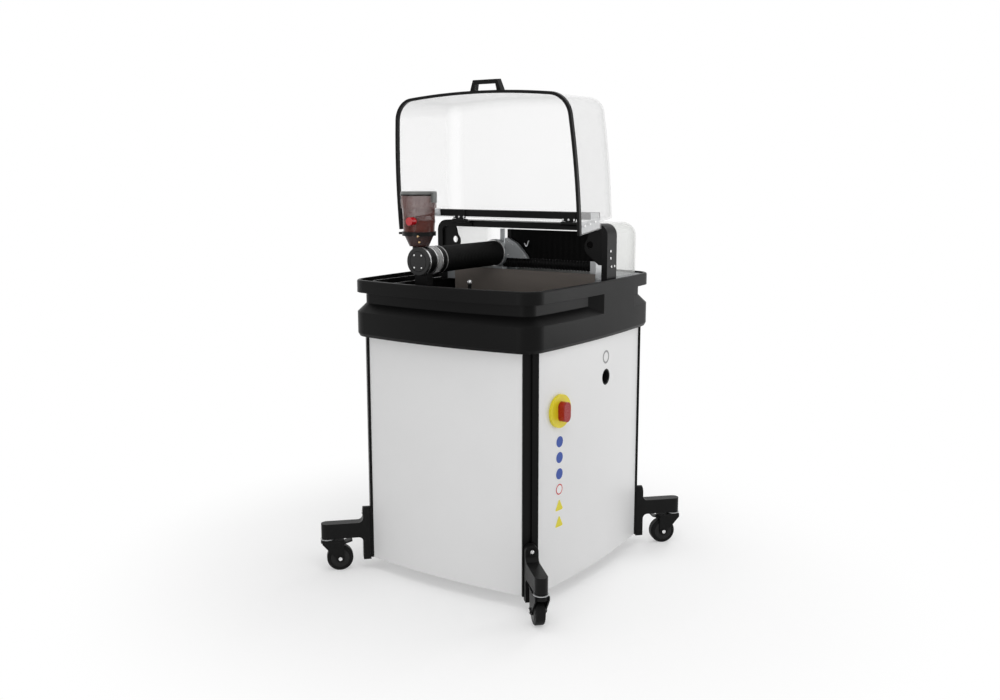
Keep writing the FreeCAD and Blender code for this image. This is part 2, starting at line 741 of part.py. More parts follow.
def rear_cover():
    front = HOOP_REAR

    def form(wall):
        shape = box(-COVER_X + wall, COVER_X - wall, front - COVER_ROUND, COVER_REAR - wall,
                    DECK_TOP - COVER_ROUND, COVER_TOP - wall)
        upright = edges_along(shape, Vec(0, 0, 1), lambda mid: mid.y > front)
        shape = shape.makeFillet(COVER_ROUND - wall, upright)
        crown = [edge for edge in shape.Edges if edge.BoundBox.ZMin > COVER_TOP - wall - 0.01
                 and edge.BoundBox.YMax > front]
        return shape.makeFillet(COVER_ROUND - wall - 1, crown)

    shell = form(0).cut(form(COVER_WALL))
    return shell.common(box(-HUGE, HUGE, front, HUGE, DECK_TOP, HUGE))


# X drive

def x_rail():
    half = END_BLOCK_X - END_BLOCK_HALF
    return box(-half, half, RAIL_Y - RAIL_WIDE / 2, RAIL_Y + RAIL_WIDE / 2, DECK_TOP, DECK_TOP + RAIL_HIGH)


def x_screw():
    half = END_BLOCK_X - END_BLOCK_HALF
    return rod((-half, DRIVE_Y, DRIVE_Z), (1, 0, 0), SCREW_R, 2 * half)


def x_end_blocks():
    y0, y1 = DRIVE_Y - END_BLOCK_WIDE / 2, RAIL_Y + RAIL_WIDE / 2
    right = box(END_BLOCK_X - END_BLOCK_HALF, END_BLOCK_X + END_BLOCK_HALF, y0, y1, DECK_TOP,
                DRIVE_Z + BELLOWS_R)
    right = right.cut(box(0, HUGE, DRIVE_Y + END_BLOCK_WIDE / 2, HUGE, DECK_TOP + RAIL_HIGH, HUGE))
    return Part.makeCompound([right, mirrored_x(right)])


def bellows(length, folds, crest, root, bore):
    """A pleated tube along +X from the origin, as one turned profile."""
    pitch = length / folds
    points = [Vec(0, bore, 0)]
    for index in range(folds):
        points.append(Vec(index * pitch, root, 0))
        points.append(Vec((index + 0.5) * pitch, crest, 0))
    points.append(Vec(length, root, 0))
    points.append(Vec(length, bore, 0))
    profile = Part.Face(Part.makePolygon(points + points[:1]))
    return profile.revolve(Vec(0, 0, 0), Vec(1, 0, 0), 360)


def x_bellows(side):
    start = ARM_X + side * LUG_HALF
    end = side * (END_BLOCK_X - END_BLOCK_HALF)
    length = abs(end - start)
    tube = bellows(length, BELLOWS_FOLDS, BELLOWS_R, BELLOWS_ROOT, BELLOWS_BORE)
    tube.translate(Vec(min(start, end), DRIVE_Y, DRIVE_Z))
    return tube


def curtain():
    """A pleated sheet that closes the hoop to the right of the carriage."""
    x0 = ARM_X + CARRIAGE_R + LEAD_BAR
    x1 = HOOP_X - HOOP_POST
    pitch = (x1 - x0) / CURTAIN_FOLDS
    near, far = [], []
    for index in range(CURTAIN_FOLDS + 1):
        y = CURTAIN_FRONT + (CURTAIN_DEEP - CURTAIN_SHEET if index % 2 else 0)
        near.append((x0 + index * pitch, y))
        far.append((x0 + index * pitch, y + CURTAIN_SHEET))
    sheet = plan_prism(near + far[::-1], CURTAIN_LOW, CURTAIN_TOP)
    return sheet.common(hoop_opening(SEAT_GAP))


# Carriage, arm and head

def carriage():
    """The casting that rides on the rail, holds the arm and straddles the screw."""
    top = rod((ARM_X, CARRIAGE_FRONT, ARM_Z), (0, 1, 0), CARRIAGE_R, CARRIAGE_REAR - CARRIAGE_FRONT)
    top = top.cut(box(-HUGE, HUGE, -HUGE, HUGE, 0, CARRIAGE_LOW))
    left, right = ARM_X - CARRIAGE_R, ARM_X + CARRIAGE_R + LEAD_BAR
    flank = front_prism([(left, CARRIAGE_LOW), (right, CARRIAGE_LOW), (right, CURTAIN_LOW),
                         (ARM_X + CARRIAGE_R * 0.6, ARM_Z + CARRIAGE_R * 0.8), (ARM_X, ARM_Z), (left, ARM_Z)],
                        CARRIAGE_FRONT, CARRIAGE_REAR)
    lug = box(ARM_X - LUG_HALF, ARM_X + LUG_HALF, DRIVE_Y - LUG_DEEP / 2, DRIVE_Y + LUG_DEEP / 2,
              DRIVE_Z - YOKE_R, ARM_Z)
    foot = box(ARM_X - CARRIAGE_R, ARM_X + CARRIAGE_R, FOOT_FRONT, CARRIAGE_REAR, DECK_TOP + FOOT_GAP, ARM_Z)
    lead = box(ARM_X + CARRIAGE_R, ARM_X + CARRIAGE_R + LEAD_BAR, CARRIAGE_FRONT, CARRIAGE_FRONT + LEAD_BAR,
               CARRIAGE_LOW, CURTAIN_TOP)
    start = ARM_X + SLEEVE_R + FLANK_GAP
    cheek = front_prism([(start, CARRIAGE_LOW)] + [(start + across, ARM_Z + up) for across, up in FLANK_CURVE]
                        + [(start + FLANK_WIDE, CARRIAGE_LOW)], FLANK_FRONT, FLANK_FRONT + FLANK_THICK)
    bridge = box(start, right, FLANK_FRONT, CARRIAGE_FRONT + LEAD_BAR, CARRIAGE_LOW, ARM_Z + BRIDGE_UP)
    tab = box(ARM_X + TAB_WIDE, ARM_X + 2 * TAB_WIDE, CARRIAGE_FRONT, CARRIAGE_FRONT + TAB_THICK,
              ARM_Z, CURTAIN_TOP)
    yoke = rod((ARM_X + LUG_HALF, DRIVE_Y, DRIVE_Z), (1, 0, 0), YOKE_R, HUGE)
    yoke = yoke.fuse(rod((ARM_X - LUG_HALF, DRIVE_Y, DRIVE_Z), (-1, 0, 0), YOKE_R, HUGE))
    body = top.multiFuse([flank, foot, lead, cheek, bridge, tab]).cut(yoke).fuse(lug)
    body = body.cut(rod((ARM_X, 0, ARM_Z), (0, 1, 0), ARM_R + PIN_GAP, HUGE))
    body = body.cut(rod((-HUGE, DRIVE_Y, DRIVE_Z), (1, 0, 0), SCREW_R + PIN_GAP, 2 * HUGE))
    slot = box(-HUGE, HUGE, RAIL_Y - RAIL_WIDE / 2 - SEAT_GAP, RAIL_Y + RAIL_WIDE / 2 + SEAT_GAP,
               0, DECK_TOP + RAIL_HIGH + SEAT_GAP)
    return body.cut(slot).removeSplitter()


def arm_tube():
    return rod((ARM_X, COLLAR_REAR, ARM_Z), (0, 1, 0), ARM_R, ARM_TAIL - COLLAR_REAR)


def arm_sleeve():
    length = CARRIAGE_FRONT - SEAT_GAP - COLLAR_REAR
    tube = bellows(length, SLEEVE_FOLDS, SLEEVE_R, SLEEVE_ROOT, SLEEVE_BORE)
    tube.rotate(Vec(0, 0, 0), Vec(0, 0, 1), 90)
    tube.translate(Vec(ARM_X, COLLAR_REAR, ARM_Z))
    return tube


def head_body():
    front = CAP_FRONT + CAP_THICK + FRONT_RING
    return rod((ARM_X, front, ARM_Z), (0, 1, 0), HEAD_R - 1, BODY_REAR - RING_WIDE - front)


def head_rings():
    rings = []
    for y, wide in ((CAP_FRONT + CAP_THICK, FRONT_RING), (BODY_REAR - RING_WIDE, RING_WIDE)):
        rings.append(rod((ARM_X, y, ARM_Z), (0, 1, 0), HEAD_R, wide))
    return Part.makeCompound(rings)


def collar():
    return rod((ARM_X, BODY_REAR, ARM_Z), (0, 1, 0), HEAD_R, COLLAR_REAR - BODY_REAR)


def end_cap():
    cap = rod((ARM_X, CAP_FRONT, ARM_Z), (0, 1, 0), HEAD_R, CAP_THICK)
    front = [edge for edge in cap.Edges if edge.BoundBox.YMax < CAP_FRONT + 0.01]
    return cap.makeChamfer(1.5, front)


def nozzle():
    """The cutting head's lower body and its focusing tube."""
    y0, y1 = CAP_FRONT + CAP_THICK + FRONT_RING + 1, BODY_REAR - RING_WIDE - 1
    yc = (y0 + y1) / 2
    block = box(ARM_X - NOZZLE_BOX / 2, ARM_X + NOZZLE_BOX / 2, y0, y1, NOZZLE_LOW, ARM_Z)
    block = block.cut(rod((ARM_X, y0 - 1, ARM_Z), (0, 1, 0), HEAD_R - 1, y1 - y0 + 2))
    neck = Part.makeCone(NECK_TIP_R, NECK_R, NECK_LONG, Vec(ARM_X, yc, NOZZLE_LOW - NECK_LONG))
    tube = rod((ARM_X, yc, NOZZLE_TIP), (0, 0, 1), TUBE_R, TUBE_LONG)
    return block.multiFuse([neck, tube]).removeSplitter()


# Hopper

def feed_block():
    """The saddle that carries the hopper on the head."""
    block = box(ARM_X - FEED_LEFT, HOPPER_X + FEED_R, HOPPER_Y - FEED_R, HOPPER_Y + FEED_REAR,
                ARM_Z, FEED_TOP - FEED_NECK)
    neck = rod((HOPPER_X, HOPPER_Y, FEED_TOP - 2 * FEED_NECK), (0, 0, 1), FEED_NECK_R, 2 * FEED_NECK)
    block = block.fuse(neck)
    block = block.cut(rod((ARM_X, -HUGE, ARM_Z), (0, 1, 0), HEAD_R, 2 * HUGE))
    return largest(block)


def hopper_cone():
    return Part.makeCone(CONE_R_LOW, CUP_R_LOW, CONE_TOP - FEED_TOP, Vec(HOPPER_X, HOPPER_Y, FEED_TOP))


def turned(points):
    profile = Part.Face(Part.makePolygon([Vec(r, 0, z) for r, z in points + points[:1]]))
    shape = profile.revolve(Vec(0, 0, 0), Vec(0, 0, 1), 360)
    shape.translate(Vec(HOPPER_X, HOPPER_Y, 0))
    return shape


def hopper_cup():
    wall = CUP_WALL
    return turned([(0, CONE_TOP), (CUP_R_LOW, CONE_TOP), (CUP_R_MID, CUP_STEP), (CUP_R_TOP, CUP_STEP),
                   (CUP_R_TOP, CUP_TOP), (CUP_R_TOP - wall, CUP_TOP), (CUP_R_MID - wall, CUP_STEP - 1),
                   (CUP_R_LOW - wall, CONE_TOP + wall), (0, CONE_TOP + wall)])


def abrasive_fill():
    share = (FILL_TOP - CONE_TOP) / (CUP_STEP - CONE_TOP)
    top_r = CUP_R_LOW + (CUP_R_MID - CUP_R_LOW) * share - CUP_WALL - SEAT_GAP
    return turned([(0, CONE_TOP + CUP_WALL), (CUP_R_LOW - CUP_WALL - SEAT_GAP, CONE_TOP + CUP_WALL),
                   (top_r, FILL_TOP), (0, FILL_TOP)])


def hopper_lid():
    disc = turned([(0, CUP_TOP), (HOPPER_LID_R, CUP_TOP), (HOPPER_LID_R, HOPPER_LID_TOP - 2),
                   (HOPPER_LID_R - 2, HOPPER_LID_TOP), (0, HOPPER_LID_TOP)])
    x = HOPPER_X + HOPPER_LID_R - 3
    catch = box(x, x + 10, HOPPER_Y - CATCH_HALF, HOPPER_Y + CATCH_HALF, CUP_TOP - CATCH_DROP,
                HOPPER_LID_TOP - 3)
    cup = rod((HOPPER_X, HOPPER_Y, CUP_TOP - HUGE / 2), (0, 0, 1), CUP_R_TOP + SEAT_GAP, HUGE / 2)
    return disc.fuse(catch.cut(cup)).removeSplitter()


def hopper_band():
    """The band round the foot of the cup, with its side tab."""
    z0, z1 = CONE_TOP - 6, CONE_TOP + 5
    ring = rod((HOPPER_X, HOPPER_Y, z0), (0, 0, 1), CUP_R_LOW + 4, z1 - z0)
    tab = box(HOPPER_X - CUP_R_LOW - BAND_TAB, HOPPER_X, HOPPER_Y - 9, HOPPER_Y + 9, z0 + 2, z1 - 3)
    ring = ring.fuse(tab)
    for shape in (hopper_cone(), hopper_cup(), rod((HOPPER_X, HOPPER_Y, 0), (0, 0, 1), CUP_R_LOW - 1, HUGE)):
        ring = ring.cut(shape)
    return largest(ring)


def hopper_knob():
    z = FILL_TOP + 2
    start = HOPPER_Y - CUP_R_MID - KNOB_LONG
    knob = rod((HOPPER_X + 12, start, z), (0, 1, 0), KNOB_R, KNOB_LONG + 10)
    return knob.cut(rod((HOPPER_X, HOPPER_Y, 0), (0, 0, 1), CUP_R_MID, HUGE))


# Right panel fittings

def panel_face(y):
    """The right panel's outer face at y: its x, and the angle of its normal in degrees."""
    reach, drop = panel_edge()
    radius = panel_radius(POST_Y - reach)
    x = POST_X + drop + PANEL_BOW - radius + math.sqrt(radius ** 2 - y ** 2)
    return x, math.degrees(math.asin(y / radius))


def on_panel(shape, y, z):
    """Move a shape that points along +X from the origin on to the right panel's bowed face."""
    x, angle = panel_face(y)
    placed = shape.copy()
    placed.rotate(Vec(0, 0, 0), Vec(0, 0, 1), angle)
    placed.translate(Vec(x, y, z))
    return placed


def switch_plate():
    disc = rod((-1, 0, 0), (1, 0, 0), SWITCH_R, SWITCH_THICK + 1)
    placed = on_panel(disc, SWITCH_Y, SWITCH_Z)
    return largest(placed.cut(cabinet_panels()["right_panel"]))


def switch_knob():
    start = SWITCH_THICK + SEAT_GAP
    half = SWITCH_KNOB_HALF - SWITCH_KNOB_R
    body = box(start, start + SWITCH_KNOB_OUT, -SWITCH_KNOB_R, SWITCH_KNOB_R, -half, half)
    ends = [rod((start, 0, sign * half), (1, 0, 0), SWITCH_KNOB_R, SWITCH_KNOB_OUT) for sign in (-1, 1)]
    return on_panel(body.multiFuse(ends).removeSplitter(), SWITCH_Y, SWITCH_Z)


def hose_port():
    start = panel_face(PORT_Y)[0] - PORT_LONG
    cup = rod((start, PORT_Y, PORT_Z), (1, 0, 0), PORT_R, PORT_LONG - 1)
    return cup.cut(rod((start + 3, PORT_Y, PORT_Z), (1, 0, 0), PORT_BORE, PORT_LONG))


# Casters, built with +X pointing outwards from the post's face

def caster_bracket():
    outline = [(0, PLATE_LOW), (FOOT_PLATE, PLATE_LOW), (FOOT_PLATE, ARM_LOW),
               (SWIVEL_OUT + FOOT_HALF, ARM_LOW), (SWIVEL_OUT + FOOT_HALF, ARM_TOP),
               (FOOT_PLATE, ARM_TOP), (FOOT_PLATE, PLATE_TOP), (0, PLATE_TOP)]
    body = front_prism(outline, -FOOT_HALF, FOOT_HALF)
    roots = edges_along(body, Vec(0, 1, 0), lambda mid: abs(mid.x - FOOT_PLATE) < 0.1
                        and ARM_LOW - 1 < mid.z < ARM_TOP + 1)
    body = body.makeFillet(ROOT_ROUND, roots)
    plan = box(0, SWIVEL_OUT, -FOOT_HALF, FOOT_HALF, 0, HUGE)
    plan = plan.fuse(rod((SWIVEL_OUT, 0, 0), (0, 0, 1), FOOT_HALF, HUGE))
    head = box(0, HUGE, -FOOT_HALF, FOOT_HALF, 0, PLATE_TOP - FOOT_HALF)
    head = head.fuse(rod((0, 0, PLATE_TOP - FOOT_HALF), (1, 0, 0), FOOT_HALF, HUGE))
    socket = rod((SWIVEL_OUT, 0, 0), (0, 0, 1), STEM_R + PIN_GAP, ARM_LOW + STEM_LONG + 1)
    return body.common(plan).common(head).cut(socket).removeSplitter()


def caster_fork():
    """Stem, crown, two legs, the axle and the brake pedal of one swivel fork."""
    inner = WHEEL_HALF + FORK_GAP
    outer = inner + FORK_WALL
    crown = box(TRAIL_HUB - 12, SWIVEL_OUT, -outer, outer, CROWN_LOW, CROWN_TOP)
    crown = crown.fuse(rod((SWIVEL_OUT, 0, CROWN_LOW), (0, 0, 1), outer, CROWN_TOP - CROWN_LOW))
    race = rod((SWIVEL_OUT, 0, CROWN_TOP), (0, 0, 1), outer - 4, ARM_LOW - SEAT_GAP - CROWN_TOP)
    stem = rod((SWIVEL_OUT, 0, CROWN_TOP), (0, 0, 1), STEM_R, ARM_LOW + STEM_LONG - CROWN_TOP)
    leg = front_prism([(TRAIL_HUB - 12, CROWN_TOP), (SWIVEL_OUT + outer - 4, CROWN_TOP),
                       (SWIVEL_OUT + outer - 4, CROWN_LOW), (TRAIL_HUB + 12, WHEEL_R),
                       (TRAIL_HUB - 12, WHEEL_R)], inner, outer)
    leg = leg.fuse(rod((TRAIL_HUB, inner, WHEEL_R), (0, 1, 0), 12, FORK_WALL))
    axle = rod((TRAIL_HUB, -outer, WHEEL_R), (0, 1, 0), AXLE_R, 2 * outer)
    bolts = rod((TRAIL_HUB, -outer - 3, WHEEL_R), (0, 1, 0), AXLE_BOSS, 2 * outer + 6)
    bolts = bolts.cut(box(-HUGE, HUGE, -outer, outer, -HUGE, HUGE))
    tilt = PEDAL_LONG * 0.6
    x = TRAIL_HUB - 11
    pedal = front_prism([(x, CROWN_LOW), (x, CROWN_LOW - PEDAL_THICK), (x - tilt, CROWN_LOW + 8 - PEDAL_THICK),
                         (x - tilt, CROWN_LOW + 8)], -outer + 4, outer - 4)
    other = leg.mirror(Vec(0, 0, 0), Vec(0, 1, 0))
    return crown.multiFuse([race, stem, leg, other, axle, bolts, pedal]).removeSplitter()


def caster_wheel():
    tyre = rod((TRAIL_HUB, -WHEEL_HALF, WHEEL_R), (0, 1, 0), WHEEL_R, 2 * WHEEL_HALF)
    rims = [edge for edge in tyre.Edges if isinstance(edge.Curve, Part.Circle)]
    tyre = tyre.makeFillet(4, rims)
    hub = rod((TRAIL_HUB, -WHEEL_HALF - FORK_GAP + 1, WHEEL_R), (0, 1, 0), 10, 2 * (WHEEL_HALF + FORK_GAP) - 2)
    bore = rod((TRAIL_HUB, -HUGE, WHEEL_R), (0, 1, 0), AXLE_R + PIN_GAP, 2 * HUGE)
    return tyre.fuse(hub).cut(bore).removeSplitter()


def build():
    parts = {"corner_posts": corner_posts(), "base_plate": base_plate(), "tray": tray(),
             "splash_wall": splash_wall(), "rear_deck": rear_deck(), "slat_bed": slat_bed(),
             "side_rails": side_rails(), "clamp_post": clamp_post(), "hinge_hoop": hinge_hoop(),
             "hinge_plates": hinge_plates(), "hinge_brackets": hinge_brackets(), "rear_cover": rear_cover(),
             "x_rail": x_rail(), "x_screw": x_screw(), "x_end_blocks": x_end_blocks(),
             "bellows_left": x_bellows(-1), "bellows_right": x_bellows(1), "curtain": curtain(),
             "carriage": carriage(), "arm_tube": arm_tube(), "arm_sleeve": arm_sleeve(),
             "head_body": head_body(), "head_rings": head_rings(), "collar": collar(), "end_cap": end_cap(),
             "nozzle": nozzle(), "feed_block": feed_block(), "hopper_cone": hopper_cone(),
             "hopper_cup": hopper_cup(), "abrasive_fill": abrasive_fill(), "hopper_lid": hopper_lid(),
             "hopper_band": hopper_band(), "hopper_knob": hopper_knob(), "switch_plate": switch_plate(),
             "switch_knob": switch_knob(), "hose_port": hose_port()}
    parts.update(cabinet_panels())
    dome = lid_dome()
    closed_lid = {"lid_dome": dome, "lid_trim": lid_trim(dome), "lid_handle": lid_handle(dome_block(0)),
                  "hinge_bar": hinge_bar(), "side_brackets": side_brackets(), "hinge_leaves": hinge_leaves()}
    for name, shape in closed_lid.items():
        parts[name] = opened(shape)
    brackets = []
    for name, signs in CORNERS.items():
        brackets.append(at_corner(caster_bracket(), *signs))
        parts["fork_" + name] = at_corner(caster_fork(), *signs)
        parts["wheel_" + name] = at_corner(caster_wheel(), *signs)
    parts["caster_brackets"] = Part.makeCompound(brackets)
    return parts


os.makedirs("parts", exist_ok=True)
for name, shape in build().items():
    shape.exportStep(os.path.join("parts", name + ".step"))
    print(name, len(shape.Solids), round(shape.Volume / 1000, 1), shape.isValid())
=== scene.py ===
import math

import bmesh
import bpy
from mathutils import Matrix, Vector


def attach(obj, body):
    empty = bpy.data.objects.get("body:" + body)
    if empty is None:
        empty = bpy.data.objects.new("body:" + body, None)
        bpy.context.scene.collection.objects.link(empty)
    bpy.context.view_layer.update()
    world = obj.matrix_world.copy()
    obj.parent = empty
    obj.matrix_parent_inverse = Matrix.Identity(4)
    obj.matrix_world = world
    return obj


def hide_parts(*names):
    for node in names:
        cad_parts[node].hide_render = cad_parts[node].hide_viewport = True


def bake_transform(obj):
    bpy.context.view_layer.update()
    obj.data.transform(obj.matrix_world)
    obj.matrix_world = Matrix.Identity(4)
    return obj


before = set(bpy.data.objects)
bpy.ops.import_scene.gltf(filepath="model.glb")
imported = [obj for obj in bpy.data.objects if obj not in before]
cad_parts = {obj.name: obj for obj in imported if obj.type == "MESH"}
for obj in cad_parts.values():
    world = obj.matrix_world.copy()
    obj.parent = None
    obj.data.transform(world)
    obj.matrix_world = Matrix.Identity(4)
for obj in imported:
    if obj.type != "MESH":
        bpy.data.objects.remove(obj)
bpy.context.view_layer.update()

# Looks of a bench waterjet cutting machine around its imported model.
# Lengths in this file are in millimetres until a mesh is made, which scales them to metres.

MM = 0.001

# Camera, fitted to the photograph
CAMERA_AT = (1666.7, -2510.2, 1147.6)
CAMERA_AZIMUTH = 33.946
CAMERA_PITCH = 9.7336
CAMERA_ROLL = -0.065
CAMERA_LENS = 37.406
SENSOR = 36.0

# Sizes shared with the model
POST_X, POST_Y = 277.0, 304.0
POST_FACE = 42.5
PANEL_STEP = 7.8
PANEL_BOW = 17.0
ARM_X, ARM_Z = -110.0, 905.0
CAP_FRONT = -273.0
BODY_REAR = -231.0
COLLAR_REAR = -185.0
CARRIAGE_FRONT = 112.0
HEAD_R = 39.0
SLEEVE_R = 37.0
DRIVE_Y, DRIVE_Z = 131.0, 879.0
BELLOWS_R = 18.0
LUG_HALF = 17.5
SCREW_END = 214.0
HOPPER_X, HOPPER_Y = -133.0, -237.0
CURTAIN_FRONT = 112.0
CURTAIN_LOW, CURTAIN_TOP = 893.5, 978.0
CURTAIN_LEFT, CURTAIN_RIGHT = -58.0, 278.0
HINGE_Y, HINGE_Z = 33.0, 1003.0
LID_OPEN = 85.0
SWIVEL_OUT = 125.0
WHEEL_TRAIL = 35.0
WHEEL_R = 38.0
WHEEL_HALF = 13.0
TRAIL_HUB = SWIVEL_OUT - WHEEL_TRAIL
AXLE_OUT = 22.5
FOOT_PLATE = 22.0
PLATE_BOLT_Z = 169.0
ARM_LOW = 98.0
LID_X, LID_RIM = 305.0, 856.5
LID_SLOPE = 23.0 / 250.0
CLAMP_AT = (-60.0, -100.0, 836.0)
LEDGE_TOP = 821.0
RAIL_OUT, RAIL_WIDE, RAIL_HIGH, RAIL_FRONT, RAIL_REAR = 297.0, 30.0, 19.0, -250.0, 40.0
CUP_TOP, CONE_TOP = 1087.0, 980.0
SLEEVE_BORE = 30.5
BELLOWS_BORE = 9.5
LEAF_SCREW_Y, LEAF_SCREW_Z = 21.0, 1000.0
LEAF_SCREWS_X = (172.0, 190.0, 208.0)
BRACKET_SCREWS = ((20.8, 926.2), (19.3, 960.8), (22.0, 891.0))
HOOP_SIDE = 296.0
HOOP_SCREWS = ((80.0, 928.0), (80.5, 908.0), (84.9, 884.5), (104.0, 884.5))
FLANK_Y = 94.0
FLANK_SCREWS = ((-58.0, 941.0), (-40.0, 934.0), (0.0, 899.0), (-57.0, 902.0))
LEAD_BAR = ((-70.4, 941.0), (-57.6, 977.5))
BRASS_AT = ((26.0, -38.0, -6.0), (27.0, -33.0, -22.0))
LID_SEAL_R = 50.6
MARK_Y = -189.5
DISC_HEIGHTS = (437.6, 394.1, 349.0)
RING_HEIGHT = 305.9
TRIANGLE_HEIGHTS = (258.0, 212.0)
PORT_RING_Y, PORT_RING_Z = 51.0, 632.6
PORT_RING_IN, PORT_RING_OUT = 13.5, 19.0
CORNERS = {"front_right": (1, -1), "rear_right": (1, 1), "rear_left": (-1, 1), "front_left": (-1, -1)}


# Mesh helpers

def finish_mesh(name, bm, material, body, sharp=32.0):
    """Turn a bmesh in millimetres into a piece that rides on a body."""
    bmesh.ops.remove_doubles(bm, verts=bm.verts, dist=0.002)
    bmesh.ops.recalc_face_normals(bm, faces=bm.faces)
    bm.transform(Matrix.Scale(MM, 4))
    mesh = bpy.data.meshes.new(name)
    bm.to_mesh(mesh)
    bm.free()
    mesh.materials.append(material)
    mesh.shade_smooth()
    mesh.set_sharp_from_angle(angle=math.radians(sharp))
    piece = bpy.data.objects.new(name, mesh)
    bpy.context.scene.collection.objects.link(piece)
    if body:
        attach(piece, body)
    return piece


def basis(normal, up=(0, 0, 1)):
    """A rotation whose Z is the normal and whose Y leans to up."""
    z = Vector(normal).normalized()
    x = Vector(up).cross(z)
    if x.length < 1e-6:
        x = Vector((1, 0, 0))
    x.normalize()
    return Matrix((x, z.cross(x), z)).transposed()


def add_lathe(bm, profile, at, normal, segments=32):
    """Turn a profile of (radius, height) pairs about an axis through a point."""
    turn, origin = basis(normal), Vector(at)
    rings = []
    for radius, height in profile:
        if radius < 1e-6:
            rings.append([bm.verts.new(turn @ Vector((0, 0, height)) + origin)])
            continue
        ring = []
        for index in range(segments):
            angle = 2 * math.pi * index / segments
            spoke = Vector((radius * math.cos(angle), radius * math.sin(angle), height))
            ring.append(bm.verts.new(turn @ spoke + origin))
        rings.append(ring)
    for low, high in zip(rings, rings[1:]):
        for index in range(segments):
            after = (index + 1) % segments
            corners = [low[index % len(low)], low[after % len(low)],
                       high[after % len(high)], high[index % len(high)]]
            corners = list(dict.fromkeys(corners))
            if len(corners) > 2:
                bm.faces.new(corners)


def add_box(bm, low, high, bevel=0.0, steps=2, turn=None):
    """A box between two corners with rounded edges, optionally moved by a matrix."""
    made = bmesh.ops.create_cube(bm, size=1.0)
    verts = made["verts"]
    centre = (Vector(low) + Vector(high)) / 2
    size = Vector(high) - Vector(low)
    for vert in verts:
        vert.co = Vector(a * b for a, b in zip(vert.co, size)) + centre
    if bevel:
        edges = list({edge for vert in verts for edge in vert.link_edges})
        made = bmesh.ops.bevel(bm, geom=edges, offset=bevel, segments=steps, profile=0.5, affect="EDGES")
        kept = {vert for vert in verts if vert.is_valid}
        verts = list({vert for face in made["faces"] for vert in face.verts} | kept)
    if turn is not None:
        bmesh.ops.transform(bm, matrix=turn, verts=verts)


def add_screw(bm, at, normal, radius=4.0, height=3.0):
    """A cap screw head with a socket."""
    r, h = radius, height
    profile = [(r, -0.5), (r, 0.75 * h), (0.86 * r, h), (0.52 * r, h), (0.46 * r, 0.35 * h), (0, 0.3 * h)]
    add_lathe(bm, profile, at, normal, 16)


def screws(name, places, material, body, radius=4.0, height=3.0):
    """One piece of several screws; places lists each one's point and direction."""
    bm = bmesh.new()
    for at, normal in places:
        add_screw(bm, at, normal, radius, height)
    return finish_mesh(name, bm, material, body)


def add_tube(bm, points, radius, sides=12):
    """A round bar along a line of points."""
    rings = []
    points = [Vector(point) for point in points]
    for index, point in enumerate(points):
        ahead = points[min(index + 1, len(points) - 1)] - points[max(index - 1, 0)]
        turn = basis(ahead)
        ring = []
        for k in range(sides):
            angle = 2 * math.pi * k / sides
            spoke = Vector((radius * math.cos(angle), radius * math.sin(angle), 0))
            ring.append(bm.verts.new(turn @ spoke + point))
        rings.append(ring)
    for low, high in zip(rings, rings[1:]):
        for k in range(sides):
            bm.faces.new([low[k], low[(k + 1) % sides], high[(k + 1) % sides], high[k]])
    bm.faces.new(rings[0][::-1])
    bm.faces.new(rings[-1])


def pleats(length, count, crest, root, steps=6):
    """A lathe profile of round pleats along a tube."""
    profile = []
    for index in range(count * steps + 1):
        wave = 0.5 - 0.5 * math.cos(2 * math.pi * index / steps)
        profile.append((root + (crest - root) * wave, length * index / (count * steps)))
    return profile


# Places on the cabinet

def panel_face(y):
    """The right panel's outer face at y: its x and its normal."""
    reach = (POST_FACE / 2 + PANEL_STEP) / math.sqrt(2)
    drop = (POST_FACE / 2 - PANEL_STEP) / math.sqrt(2)
    half = POST_Y - reach
    radius = (half ** 2 + PANEL_BOW ** 2) / (2 * PANEL_BOW)
    across = math.sqrt(radius ** 2 - y ** 2)
    return POST_X + drop + PANEL_BOW - radius + across, Vector((across, y, 0)) / radius


def corner_matrix(sx, sy):
    """From a corner's own axes, +X outwards from the post's face, to the machine's."""
    turn = Matrix.Rotation(math.atan2(sy, sx), 4, "Z")
    return Matrix.Translation((POST_X * sx, POST_Y * sy, 0)) @ turn


def opened(point):
    """Where a point of the closed lid lies when the lid is open."""
    hinge = Vector((0, HINGE_Y, HINGE_Z))
    return Matrix.Rotation(math.radians(-LID_OPEN), 3, "X") @ (Vector(point) - hinge) + hinge


# Materials

